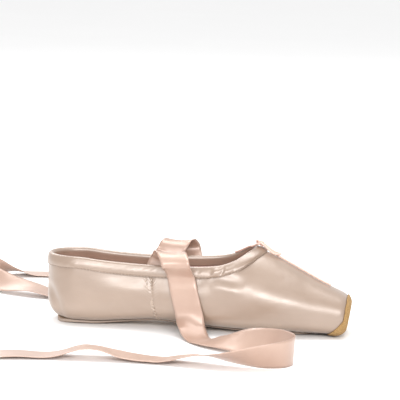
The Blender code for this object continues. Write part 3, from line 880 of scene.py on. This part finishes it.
def drawInHeights(points):
    x, z = points[:, 0], points[:, 2]
    collarLine = np.array([collarHeight(a) for a in np.clip(x, 0, None) / last["fore"]])
    fadeIn = np.clip((x - drawIn["from"]) / drawIn["fadeIn"] + 0.5, 0, 1)
    fadeOut = np.clip((drawIn["to"] - x) / drawIn["fadeOut"] + 0.5, 0, 1)
    ends = fadeIn * fadeOut
    down = np.clip(collarLine - drawIn["collarDepth"] - z, 0, None)
    drawn = drawIn["depth"] * np.exp(-((down / drawIn["width"]) ** 2))
    swell = drawIn["swell"] * np.exp(-(((down - drawIn["below"]) / drawIn["reach"]) ** 2))
    return ends * ends * (3 - 2 * ends) * (swell - drawn)


def seamHeights(points):
    total = np.zeros(len(points))
    near = np.abs(points[:, 0] - seam["middleX"]) < seam["reachX"]
    for side in (-1, 1):
        line = sideLine(seam["path"], side, seam["step"])
        gaps = np.linalg.norm(points[near][:, None] - line[None], axis=2)
        away = gaps.min(axis=1)
        at = gaps.argmin(axis=1) * seam["step"]
        groove = -seam["depth"] * np.exp(-((away / seam["width"]) ** 2))
        pucker = np.sin(at * 2 * math.pi / seam["puckerLength"] + seam["puckerSlant"] * away)
        fade = np.exp(-((away / seam["puckerWidth"]) ** 2))
        total[near] += groove + seam["pucker"] * pucker * fade
    backSeam = (points[:, 0] < seam["backX"]) * np.exp(-((points[:, 1] / seam["backWidth"]) ** 2))
    return total - seam["backDepth"] * backSeam


def pleatHeights(points):  # the satin pleated in under the toe, round the sole's end
    centre = np.array((soleEnd - pleats["centreBack"], 0.0))
    arm = points[:, :2] - centre
    turn = np.arctan2(arm[:, 1], arm[:, 0])
    away = np.linalg.norm(arm, axis=1) - pleats["centreBack"]
    rim = body(pleats["rimAlong"])["belly"] * pleats["rimShare"]
    under = np.clip((rim - points[:, 2]) / pleats["rimFade"], 0, 1) * (arm[:, 0] > 0)
    reach = np.clip((pleats["to"] - away) / pleats["fade"], 0, 1)
    reach = reach * np.clip((away + pleats["fade"]) / pleats["from"], 0, 1)
    fold = np.abs(np.sin(turn * pleats["count"])) ** pleats["level"] - pleats["level"]
    return pleats["depth"] * fold * under * reach


def rippleHeights(points):
    start, end = upper["calmX"]
    calm = np.clip((end - points[:, 0]) / (end - start), upper["calmLeast"], 1)
    wide = [noise.noise(Vector(p) * upper["rippleScale"]) for p in points]
    fine = [noise.noise(Vector(p) * upper["smallScale"] + Vector((3, 1, 7))) for p in points]
    return calm * (upper["ripple"] * np.array(wide) + upper["smallRipple"] * np.array(fine))


def makeUpper():
    bm = bothSides(upperGrid(), flip=True)
    base, normals = placesAndNormals(bm)
    heights = (creaseHeights, drawInHeights, seamHeights, pleatHeights, rippleHeights)
    lift = sum(height(base) for height in heights)
    lining = upper["liningFollow"] * np.minimum(lift, 0) - last["wall"]
    outer, inner = base + normals * lift[:, None], base + normals * lining[:, None]
    made = wallBetween(bm, "satinUpper", outer, inner, satin, cloths["liningCotton"])
    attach(made, "root")
    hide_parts("upper")


makeUpper()
print("upper made")


# Stitches, laid by one node tree from their bent centre lines


def stitchTree():
    tree = bpy.data.node_groups.new("threadStitches", "GeometryNodeTree")
    given = {
        "Stitches": "Geometry",
        "Thread Radius": "Float",
        "Thread Sides": "Int",
        "Thread": "Material",
    }
    ids = {}
    for name, kind in given.items():
        made = tree.interface.new_socket(name, in_out="INPUT", socket_type="NodeSocket" + kind)
        ids[name] = made.identifier
    tree.interface.new_socket("Sewn", in_out="OUTPUT", socket_type="NodeSocketGeometry")
    kinds = {
        "given": "NodeGroupInput",
        "centre": "GeometryNodeMeshToCurve",
        "ring": "GeometryNodeCurvePrimitiveCircle",
        "tube": "GeometryNodeCurveToMesh",
        "smooth": "GeometryNodeSetShadeSmooth",
        "real": "GeometryNodeRealizeInstances",
        "finish": "GeometryNodeSetMaterial",
        "result": "NodeGroupOutput",
    }
    nodes = {name: tree.nodes.new(kind) for name, kind in kinds.items()}
    nodes["tube"].inputs["Fill Caps"].default_value = True
    for giver, output, taker, socket in (
        ("given", "Stitches", "centre", "Mesh"),
        ("given", "Thread Radius", "ring", "Radius"),
        ("given", "Thread Sides", "ring", "Resolution"),
        ("centre", "Curve", "tube", "Curve"),
        ("ring", "Curve", "tube", "Profile Curve"),
        ("tube", "Mesh", "smooth", "Geometry"),
        ("smooth", "Geometry", "real", "Geometry"),
        ("real", "Geometry", "finish", "Geometry"),
        ("given", "Thread", "finish", "Material"),
        ("finish", "Geometry", "result", "Sewn"),
    ):
        tree.links.new(nodes[giver].outputs[output], nodes[taker].inputs[socket])
    return tree, ids


stitches, stitchInputs = stitchTree()
threadSides = 6


def sewn(name, lines, radius, finish):  # lines: the centre line of each stitch
    verts = [tuple(p) for line in lines for p in line]
    edges = []
    start = 0
    for line in lines:
        edges += [(start + i, start + i + 1) for i in range(len(line) - 1)]
        start += len(line)
    data = bpy.data.meshes.new(name + "Lines")
    data.from_pydata(verts, edges, [])
    source = linked(name + "Lines", data)
    modifier = source.modifiers.new("threads", "NODES")
    modifier.node_group = stitches
    modifier[stitchInputs["Thread Radius"]] = radius
    modifier[stitchInputs["Thread Sides"]] = threadSides
    modifier[stitchInputs["Thread"]] = finish
    bpy.context.view_layer.update()
    graph = bpy.context.evaluated_depsgraph_get()
    mesh = bpy.data.meshes.new_from_object(source.evaluated_get(graph))
    bpy.data.objects.remove(source)
    mesh.name = name
    made = linked(name, mesh)
    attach(made, "root")
    return made


def bentStitch(start, end, out, rise):  # sunk at both ends, proud in the middle
    along, up = (end - start) * 0.25, out * rise
    return [start - up, start + along + up, start + 3 * along + up, end - up]


def rowStitches(line, outs, length, gap, rise):
    run = runOf(line)
    starts = np.arange(0, run[-1] - length, length + gap)
    ends = zip(pointsAt(line, run, starts), pointsAt(line, run, starts + length))
    facings = pointsAt(outs, run, starts + length / 2)
    return [bentStitch(start, end, unit(out), rise) for (start, end), out in zip(ends, facings)]


def zigzagStitches(path, side, lift):
    corners = []
    for i, (x, z) in enumerate(smoothLine(path, seam["stitch"])):
        corners.append(wallPoint(x + seam["zig"] * (1 if i % 2 else -1), z, side))
    lines = []
    for start, end in zip(corners, corners[1:]):
        out = outward((start + end) / 2 * (1, side, 1)) * (1, side, 1)
        lines.append(bentStitch(start + out * lift, end + out * lift, out, seam["thread"]))
    return lines


def makeSideSeams():
    lines = []
    for side in (-1, 1):
        lines += zigzagStitches(seam["path"], side, seam["lift"])
        lines += zigzagStitches(seam["behind"], side, seam["liftBehind"])
    backLine = [(-float(heelReach(z)), z) for z in np.arange(*seam["backZ"], seam["backStep"])]
    for (x, z), (xNext, zNext) in zip(backLine[:-1:2], backLine[1::2]):
        for y in (-seam["backApart"], seam["backApart"]):
            ends = (np.array((x, y, z)), np.array((xNext, y, zNext)))
            lines.append(bentStitch(*ends, np.array((-1.0, 0, 0)), seam["thread"]))
    sewn("seamStitches", lines, seam["thread"], cloths["seamCotton"])


makeSideSeams()
print("seams sewn")


# Sole and insole


def slab(name, start, end, halfAt, topAt, bottomAt, finish):
    steps = (1 - np.cos(np.linspace(0, math.pi, sole["steps"] + 1))) / 2
    count = sole["across"]
    inward = np.linspace(0, sole["innerAcross"], count)
    grid = []
    for x in start + (end - start) * steps:
        half = float(halfAt(x))
        cut = min(sole["chamfer"], half / 2)
        edge = half - cut
        top = [(x, half * f, topAt(x, half * f)) for f in inward]
        top += [(x, edge, topAt(x, edge)), (x, half, topAt(x, half) - cut)]
        bottom = [(x, half, bottomAt(x, half) + cut)]
        bottom += [(x, edge * f, bottomAt(x, edge * f)) for f in np.linspace(1, 0, count)]
        grid.append(top + bottom)
    grid = np.array(grid)
    rims = {sameOnBothSides(p) for column in grid for p in column[count : count + 4]}
    bm = bothSides(grid, flip=False)
    # marks the rim's vertices, where the leather gets its painted shade
    edges = [float(sameOnBothSides(v.co) in rims) for v in bm.verts]
    made = meshFrom(bm, name, finish)
    made.data.attributes.new("rimShade", "FLOAT", "POINT").data.foreach_set("value", edges)
    return made


def innerFloor(x, y):
    step = 1e-4
    slope = (underHeight(x, abs(y) + step) - underHeight(x, abs(y))) / step
    return underHeight(x, y) + last["wall"] * math.hypot(1, slope) + last["innerGap"]


def soleTop(x, y):  # the leather is thinner along its edge
    rim = min(1.0, abs(y) / max(1e-6, float(soleHalf(x)))) ** sole["edgePower"]
    thick = sole["edgeThickness"] * (1 - sole["edgeTaper"] * rim)
    return min(underHeight(x, y) - last["gap"], soleBottom(x, y) + thick)


def makeSoles():
    outsole = slab("leatherSole", soleStart, soleEnd, soleHalf, soleTop, soleBottom, leather)
    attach(outsole, "root")
    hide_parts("outsole")
    start, end = soleStart + sole["insoleSetback"], soleEnd - sole["insoleSetback"]

    def half(x):
        return roundedHalf(x, start, end, lambda s: soleHalfAt(s) + sole["insoleSpread"])

    def top(x, y):
        return innerFloor(x, y) + sole["insoleThickness"]

    insole = slab("insole_cloth", start, end, half, top, innerFloor, cloths["insoleCloth"])
    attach(insole, "root")
    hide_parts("insole")


makeSoles()
print("sole and insole made")


# Platform patch

patch = {
    "thickness": 0.0009,
    "rimShare": 0.4,  # of the thickness
    "border": (0.0, 0.75, 0.97),  # how full the first columns are
    "reach": 0.0028,
    "underReach": 0.0135,
    "curve": 1.35,
    "ragged": 0.0002,
    "raggedStep": 0.35,
    "columns": 20,
    "nap": 0.00005,
    "napScale": 420,
}


def makePatch():
    under = underShare(tipEdgeRows) ** patch["curve"]
    reach = patch["reach"] + (patch["underReach"] - patch["reach"]) * under
    ragged = [noise.noise(Vector((i * patch["raggedStep"], 0.4, 0.9))) for i in range(len(reach))]
    reach = reach + patch["ragged"] * np.array(ragged)
    shares = np.linspace(1, 0, patch["columns"] + 1)
    grid = np.array([tipColumn(tipRadii, reach * share) for share in shares] + tipFace)
    border = {}
    for column, fullness in zip(grid, patch["border"]):
        border.update({sameOnBothSides(p): fullness for p in column})
    bm = bothSides(grid, flip=True)
    base, normals = placesAndNormals(bm)
    full = np.array([border.get(sameOnBothSides(p), 1.0) for p in base])
    nap = np.array([noise.noise(Vector(p) * patch["napScale"]) for p in base]) * patch["nap"]
    rim = patch["rimShare"]
    top = last["gap"] + patch["thickness"] * (rim + (1 - rim) * full) + nap * full
    outer, inner = base + normals * top[:, None], base + normals * last["gap"]
    made = wallBetween(bm, "suedePatch", outer, inner, cloths["tanSuede"])
    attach(made, "root")
    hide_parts("platform_patch")


makePatch()
print("patch made")


# Collar binding

binding = {
    "width": 0.0077,
    "inside": 0.0066,
    "thickness": 0.0008,
    "gap": 0.0004,
    "stitchLine": 0.92,  # share of the width at which it is stitched down
    "stitchDip": 0.55,
    "dipWidth": 0.025,
    "flap": 0.6,
    "raggedEdge": 0.5,
    "puff": 0.0005,
    "gather": 0.00026,
    "gatherLength": 0.0034,
    "gatherSkew": 0.25,
    "slowLength": 0.021,
    "crumple": 0.0023,  # the stronger folds beside the throat
    "crumpleX": (0.106, 0.130),
    "stitchLength": 0.0017,
    "stitchGap": 0.0009,
    "stitchLift": 0.00005,
    "thread": 0.00031,
    "step": 0.0008,
}

# rows down the outside, as shares of the width from its lower edge up
outsideRows = (1.0, 0.99, 0.97, 0.945, binding["stitchLine"], 0.895, 0.87, 0.8, 0.7)
outsideRows += (0.58, 0.45, 0.32, 0.2, 0.1, 0.0)


def collarFrames():
    heel = [heelRows(heelSection(turn))[-1] for turn in heelTurns()]
    edge = np.array(heel + [upperRows(section(a), a)[-1] for a in quarterAlongs()])
    run = runOf(edge)
    edge = pointsAt(edge, run, np.linspace(0, run[-1], round(run[-1] / binding["step"]) + 1))
    whole = np.vstack((edge[1:2] * (1, -1, 1), edge, edge[-2:-1] * (1, -1, 1)))
    frames = []
    for i, p in enumerate(edge):
        out = outward(p)
        frames.append((p, out, unit(np.cross(out, unit(whole[i + 2] - whole[i])))))
    return frames


def bindingProfile():  # (down, out, share of the puff)
    wall, gap, thick = last["wall"], binding["gap"], binding["thickness"]
    stitched, ragged = binding["stitchLine"], binding["raggedEdge"]
    rows = []
    for s in outsideRows:
        pressed = math.exp(-(((s - stitched) / binding["dipWidth"]) ** 2))
        full = (binding["flap"] if s > stitched else 1.0) * (ragged if s == 1.0 else 1.0)
        puff = math.sin(math.pi * (1 - s / stitched) ** 0.8) if s < stitched else 0
        out = gap + thick * full * (1 - binding["stitchDip"] * pressed)
        rows.append((binding["width"] * s, out, puff))
    outer, inner = wall / 2 + gap + thick, wall / 2 + gap
    for turn in np.radians((20, 45, 70, 90, 110, 135, 160)):
        rows.append((-outer * math.sin(turn), outer * math.cos(turn) - wall / 2, 0.0))
    for s in (0.0, 0.35, 0.7, 0.95, 1.0):
        out = -wall - last["innerGap"] - thick * (ragged if s == 1.0 else 1.0)
        rows.append((binding["inside"] * s, out, 0.0))
    for s in (1.0, 0.5, 0.0):
        rows.append((binding["inside"] * s, -wall - last["innerGap"], 0.0))
    for turn in np.radians((135, 90, 45)):
        rows.append((-inner * math.sin(turn), inner * math.cos(turn) - wall / 2, 0.0))
    for s in (0.0, 0.3, 0.6, 0.85, 1.0):
        rows.append((binding["width"] * s, gap, 0.0))
    return rows


collar = collarFrames()


def bindingRows(profile):  # each row's places and facings, all round the collar
    half = []
    for p, normal, down in collar:
        column = []
        for depth, out, puff in profile:
            if depth <= 0:
                column.append((p + down * depth + normal * out, normal))
            else:
                on = ontoLast(p + down * depth)
                facing = outward(on)
                column.append((on + facing * out, facing))
        half.append(column)
    half = np.array(half)
    half[0, :, :, 1] = half[-1, :, :, 1] = 0
    ring = np.concatenate((half, (half * (1, -1, 1))[-2:0:-1]))
    return ring[:, :, 0], ring[:, :, 1]


def gatherHeights(ring, puffs):
    run = np.cumsum(np.linalg.norm(np.diff(ring[:, 0], axis=0, prepend=ring[:1, 0]), axis=1))
    lift = np.zeros(ring.shape[:2])
    start, end = binding["crumpleX"]
    for j, at in enumerate(run):
        slow = noise.noise(Vector((at / binding["slowLength"], 5.1, 0.0)))
        within = (ring[j, 0, 0] - start) / (end - start)
        crumple = binding["crumple"] * math.sin(math.pi * min(1.0, max(0.0, within)))
        strength = binding["gather"] * (0.75 + 0.5 * slow) + crumple
        for i, puff in enumerate(puffs):
            skew = binding["gatherSkew"] * i if i < len(outsideRows) else 0.0
            wave = noise.noise(Vector((at / binding["gatherLength"] + skew, 1.7, i * 0.11)))
            lift[j, i] = puff * (binding["puff"] + strength * wave)
    return lift


def makeBinding():
    profile = bindingProfile()
    ring, facings = bindingRows(profile)
    ring = ring + facings * gatherHeights(ring, [puff for depth, out, puff in profile])[..., None]
    bm = bmesh.new()
    gridFaces(bm, ring, roundColumns=True, roundRows=True, flip=True)
    merged(bm)
    made = meshFrom(bm, "collarBinding", bindingSatinWithShade)
    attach(made, "root")
    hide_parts("collar_casing")
    row = outsideRows.index(binding["stitchLine"])
    outs = np.concatenate((facings[:, row], facings[:1, row]))
    line = np.concatenate((ring[:, row], ring[:1, row])) + outs * binding["stitchLift"]
    rise = binding["thread"] * 0.8
    lines = rowStitches(line, outs, binding["stitchLength"], binding["stitchGap"], rise)
    sewn("bindingStitches", lines, binding["thread"], cloths["threadCotton"])


makeBinding()
print("binding made")


# Drawstring

cord = {
    "diameter": 0.0018,
    "sides": 14,
    "step": 0.0004,
    "twist": 2600,  # radians along a metre
    "twistDepth": 0.04,
    "tip": 0.4,
    "knot": (0.0075, 0.0064, 0.0052),
    "knotSteps": 240,
    "knotHigh": 0.8,
    "tuck": 0.0012,  # how far an end starts inside the knot
    "loopLength": 0.017,
    "loopWidth": 0.008,
    "shortEnd": 0.031,
}

# forward, sideways and lift, as shares of the vamp, of the ball's half width and in diameters
longEnd = (
    (0.030, 0.000, 1.75),
    (0.085, 0.000, 1.15),
    (0.145, 0.006, 0.66),
    (0.200, 0.012, 0.12),
    (0.260, 0.010, 0.0),
    (0.340, -0.004, 0.0),
    (0.430, -0.012, 0.0),
    (0.520, -0.006, 0.0),
    (0.610, -0.014, 0.0),
    (0.700, -0.030, 0.0),
    (0.800, -0.036, 0.0),
)

# shares of the loop's length and width, and the lift in diameters
bowLoop = (
    (0.00, -0.16, 2.10),
    (0.26, -0.42, 1.60),
    (0.50, -0.54, 1.00),
    (0.70, -0.54, 0.70),
    (0.88, -0.34, 1.05),
    (0.98, 0.00, 1.35),
    (0.92, 0.36, 1.05),
    (0.74, 0.58, 0.60),
    (0.54, 0.62, 0.75),
    (0.30, 0.50, 1.30),
    (0.02, 0.20, 2.10),
)


def cordLift(diameters):
    return last["gap"] + cord["diameter"] * (0.5 + diameters)


knotLift = binding["gap"] + binding["thickness"] + last["gap"] + cord["knot"][2] / 2
knotCentre = aboveVamp(0.0, 0.0, knotLift)
knotAhead = unit(vampPoint(last["throat"] + 0.01, 0) - vampPoint(last["throat"], 0))
knotUp = np.array((-knotAhead[2], 0, knotAhead[0]))


def fromKnot(route):  # the part of a route that lies outside the knot
    reach = 2 * last["gap"] - cord["tuck"]
    kept = []
    for p in smoothLine(route, cord["step"]):
        arm = p - knotCentre
        share = math.hypot(
            arm @ knotAhead / (cord["knot"][0] / 2 + reach),
            arm[1] / (cord["knot"][1] / 2 + reach),
            arm @ knotUp / (cord["knot"][2] / 2 + reach),
        )
        if share >= 1:
            kept.append(p)
    return smoothLine(kept, cord["step"])


def carried(line):  # a level frame carried along a line
    ahead = np.gradient(line, axis=0)
    ahead /= np.linalg.norm(ahead, axis=1)[:, None]
    side = unit(np.cross(ahead[0], (0.1, 0.2, 1)))
    frames = []
    for direction in ahead:
        side = unit(side - (side @ direction) * direction)
        frames.append((side, np.cross(direction, side)))
    return frames


def tubeMesh(name, line, closed=False):
    radius, sides, deep = cord["diameter"] / 2, cord["sides"], cord["twistDepth"]
    turned = np.linspace(0, 2 * math.pi, sides, endpoint=False)
    bm = bmesh.new()
    rings = []
    for p, (u, v), at in zip(line, carried(np.asarray(line)), np.arange(len(line)) * cord["step"]):
        strands = np.cos(2 * turned + at * cord["twist"]) * np.cos(2 * turned - at * cord["twist"])
        sizes = radius * (1 - deep + deep * strands)
        places = [p + s * (math.cos(t) * u + math.sin(t) * v) for t, s in zip(turned, sizes)]
        rings.append([bm.verts.new(place) for place in places])
    for first, second in list(zip(rings, rings[1:])) + ([(rings[-1], rings[0])] if closed else []):
        for i in range(sides):
            k = (i + 1) % sides
            bm.faces.new((first[i], first[k], second[k], second[i]))
    if not closed:
        first, final = (rings[0][::-1], line[0], line[1]), (rings[-1], line[-1], line[-2])
        for ring, end, near in (first, final):
            tip = bm.verts.new(end + unit(end - near) * radius * cord["tip"])
            for i in range(sides):
                bm.faces.new((ring[i], ring[(i + 1) % sides], tip))
    bm.normal_update()
    return meshFrom(bm, name, cloths["cordCotton"])


def makeKnot():  # an overhand knot, as a closed trefoil
    turned = np.linspace(0, 2 * math.pi, cord["knotSteps"], endpoint=False)
    ahead, aside, up = [(size - cord["diameter"]) / 2 for size in cord["knot"]]
    widest = 2.75
    x = (np.sin(turned) + 2 * np.sin(2 * turned)) / widest * ahead
    y = (np.cos(turned) - 2 * np.cos(2 * turned)) / widest * aside
    z = -np.sin(3 * turned) * up * cord["knotHigh"]
    flat = knotCentre + x[:, None] * knotAhead + y[:, None] * np.array((0, 1, 0))
    places = flat + z[:, None] * knotUp
    made = tubeMesh("drawstringKnot", places, closed=True)
    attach(made, "root")
    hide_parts("drawstring_knot")
    return made


def declareCord(made, node):
    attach(made, "root")
    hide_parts(node)


def makeDrawstring():
    knot = makeKnot()
    route = [aboveVamp(f, y * last["ballHalf"], cordLift(up)) for f, y, up in longEnd]
    line = fromKnot(route)
    declareCord(tubeMesh("drawstringLongEnd", line), "drawstring_long_end")
    reach = cord["loopLength"] / ((1 - last["throat"]) * last["fore"])
    route = [aboveVamp(f * reach, y * cord["loopWidth"], cordLift(up)) for f, y, up in bowLoop]
    line = fromKnot(route)
    declareCord(tubeMesh("drawstringLoop", line), "drawstring_loop")
    radius = cord["diameter"] / 2
    lift = last["wall"] / 2 + binding["gap"] + binding["thickness"] + last["gap"] + radius
    route = [knotCentre]
    for p, out, down in collar[::-4]:
        away = np.linalg.norm(p - knotCentre)
        rise = radius * max(0.0, 1 - away / (3 * cord["knot"][0]))
        if away > cord["knot"][0]:
            route.append(p - down * (lift + rise) - out * last["wall"] / 2)
    line = fromKnot(route)[: round(cord["shortEnd"] / cord["step"]) + 1]
    declareCord(tubeMesh("drawstringShortEnd", line), "drawstring_short_end")


makeDrawstring()
print("drawstring made")


# Ribbons

ribbon = {
    "width": 0.022,
    "thickness": 0.0006,
    "shown": 0.0004,
    "length": 0.50,
    "clearance": 0.0005,
    "arch": 0.010,
    "steps": 420,
    "across": 10,
    "wave": 0.002,
    "waveScale": 42,
    "slopeStep": 0.002,
}

# share of the shoe's fore part, share of the collar's height
ribbonInside = ((0.262, 0.50), (0.277, 0.66), (0.293, 0.83), (0.310, 1.00))
# share of the fore part, outwards and up in arches
ribbonOver = (
    (0.322, -0.03, 0.45),
    (0.335, 0.28, 1.06),
    (0.350, 0.90, 1.33),
    (0.366, 1.55, 1.08),
    (0.379, 1.86, 0.42),
)
# share of the fore part, share of the collar's height, clearances off the wall
ribbonOutside = ((0.393, 0.88, 5.0), (0.405, 0.68, 2.2), (0.418, 0.48, 1.8), (0.430, 0.30, 4.5))

# forward and outwards as shares of the length, lean in degrees, height off the floor
nearFloor = (
    (0.006, 0.013, 0, 0.014),
    (0.018, 0.036, 0, 0.001),
    (0.040, 0.066, 8, 0.003),
    (0.076, 0.094, 30, 0.004),
    (0.116, 0.112, 62, 0.000),
    (0.154, 0.130, 82, 0.000),
    (0.176, 0.160, 88, 0.000),
    (0.166, 0.194, 80, 0.000),
    (0.128, 0.210, 60, 0.000),
    (0.080, 0.208, 30, 0.004),
    (0.030, 0.198, 8, 0.010),
    (-0.020, 0.192, 2, 0.002),
    (-0.075, 0.190, 0, 0.006),
    (-0.130, 0.192, 4, 0.014),
    (-0.185, 0.198, 2, 0.002),
    (-0.240, 0.208, 0, 0.004),
    (-0.300, 0.222, 0, 0.000),
    (-0.360, 0.240, 0, 0.000),
)
farFloor = (
    (0.006, 0.013, 0, 0.014),
    (0.014, 0.036, 4, 0.001),
    (0.010, 0.066, 24, 0.004),
    (-0.012, 0.094, 58, 0.000),
    (-0.050, 0.110, 76, 0.000),
    (-0.096, 0.108, 66, 0.000),
    (-0.142, 0.098, 34, 0.004),
    (-0.192, 0.092, 8, 0.012),
    (-0.244, 0.094, 0, 0.003),
    (-0.296, 0.104, 6, 0.010),
    (-0.346, 0.122, 30, 0.003),
    (-0.390, 0.150, 64, 0.000),
    (-0.412, 0.190, 80, 0.000),
    (-0.400, 0.232, 60, 0.000),
    (-0.366, 0.262, 20, 0.002),
    (-0.320, 0.280, 0, 0.002),
    (-0.210, 0.292, 0, 0.002),
)


def ribbonRoute(side, floorRows):
    skin = last["wall"] + last["innerGap"] + binding["thickness"]
    skin += 2 * ribbon["clearance"] + ribbon["thickness"] / 2
    fore, arch = last["fore"], ribbon["arch"]
    rows = []
    for along, share in ribbonInside:
        z = collarHeight(along) * share
        rows.append((along * fore, wallY(along * fore, z) - skin, z, 0))
    for along, out, up in ribbonOver:
        edge = wallY(along * fore, collarHeight(along)) - skin
        rows.append((along * fore, edge + out * arch, collarHeight(along) + up * arch, 0))
    for along, share, clearances in ribbonOutside:
        z = collarHeight(along) * share
        off = binding["gap"] + binding["thickness"] + ribbon["thickness"] / 2
        off += clearances * ribbon["clearance"]
        rows.append((along * fore, wallY(along * fore, z) + off, z, 0))
    downX, downY = rows[-1][:2]
    for forward, out, lean, lift in floorRows:
        turn = math.radians(lean)
        rest = ribbon["width"] / 2 * math.sin(turn) + ribbon["thickness"] / 2 + last["gap"]
        x, y = downX + forward * ribbon["length"], downY + out * ribbon["length"]
        rows.append((x, y, rest + lift * ribbon["length"], turn))
    return np.array(rows) * (1, side, 1, 1)


def alongWall(p, side):
    z = min(p[2], collarHeight(p[0] / last["fore"]))
    step = ribbon["slopeStep"]
    rise = wallY(p[0] + step, z) - wallY(p[0] - step, z)
    return unit(np.array((2 * step, side * rise, 0.0)))


def ribbonWay(line, i, side):  # its direction across, its face and how flat it lies, at one place
    *p, lean, onFloor = line[i]
    ahead = unit(line[min(i + 1, len(line) - 1), :3] - line[max(i - 1, 0), :3])
    share = np.clip(onFloor, 0, 1)
    level = unit(np.cross((0, 0, 1), ahead)) * -side
    lying = math.cos(lean) * level + math.sin(lean) * np.array((0, 0, 1))
    way = lying if share == 1 else lying * share + alongWall(p, side) * (1 - share)
    way = unit(way - (way @ ahead) * ahead)
    return way, np.cross(ahead, way), share * (1 - abs(math.sin(lean)))


def makeRibbon(name, node, side, floorRows, seed):
    rows = ribbonRoute(side, floorRows)
    onFloor = np.arange(len(rows)) >= len(rows) - len(floorRows)
    step = ribbon["length"] / ribbon["steps"]
    line = smoothLine(np.column_stack((rows, onFloor)), step)[: ribbon["steps"] + 1]
    across = np.linspace(-1, 1, ribbon["across"] + 1)
    grid = []
    for i, row in enumerate(line):
        way, face, flat = ribbonWay(line, i, side)
        up = face if face[2] > 0 else -face
        column = []
        for b in (-1, 1):
            for a in across[::-b]:
                wave = noise.noise(Vector((i * step * ribbon["waveScale"], a * 0.8, seed)))
                free = flat * max(0.0, wave) * abs(a)
                place = row[:3] + way * ribbon["width"] / 2 * a + face * ribbon["shown"] / 2 * b
                column.append(place + up * ribbon["wave"] * free)
        grid.append(column)
    bm = bmesh.new()
    verts = gridFaces(bm, np.array(grid), roundRows=True)
    bm.faces.new(verts[0])
    bm.faces.new(verts[-1][::-1])
    bmesh.ops.recalc_face_normals(bm, faces=bm.faces)
    made = meshFrom(bm, name, ribbonSatin)
    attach(made, "root")
    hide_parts(node)


makeRibbon("ribbonNear", "ribbon_near", -1, nearFloor, 2.0)
makeRibbon("ribbonFar", "ribbon_far", 1, farFloor, 9.0)
print("ribbons made")


# Floor and light

studio = {
    "floor": 6.0,
    "sky": 0.95,
    # place, width and height, power
    "lights": {
        "frontSoftbox": ((0.38, -1.85, 0.90), (2.0, 0.50), 31),
        "backSoftbox": ((-0.95, 1.45, 1.25), (1.2, 0.6), 11),
        "topSoftbox": ((0.15, 0.25, 1.6), (1.2, 0.9), 18),
    },
    "aim": (0.09, 0, 0.03),
}


def makeStudio():
    bm = bmesh.new()
    bmesh.ops.create_grid(bm, x_segments=4, y_segments=4, size=studio["floor"])
    meshFrom(bm, "studioFloor", cloths["paleFloor"])
    for name, (place, size, power) in studio["lights"].items():
        light = bpy.data.lights.new(name, "AREA")
        light.shape = "RECTANGLE"
        light.size, light.size_y = size
        light.energy = power
        linked(name, light).matrix_world = turnedTo(place, studio["aim"])
    world = bpy.data.worlds.new("studioSky")
    world.use_nodes = True
    background = world.node_tree.nodes["Background"]
    background.inputs["Color"].default_value = (1, 1, 1, 1)
    background.inputs["Strength"].default_value = studio["sky"]
    bpy.context.scene.world = world
    bpy.context.scene.view_settings.view_transform = "Standard"


makeStudio()
print("studio made")
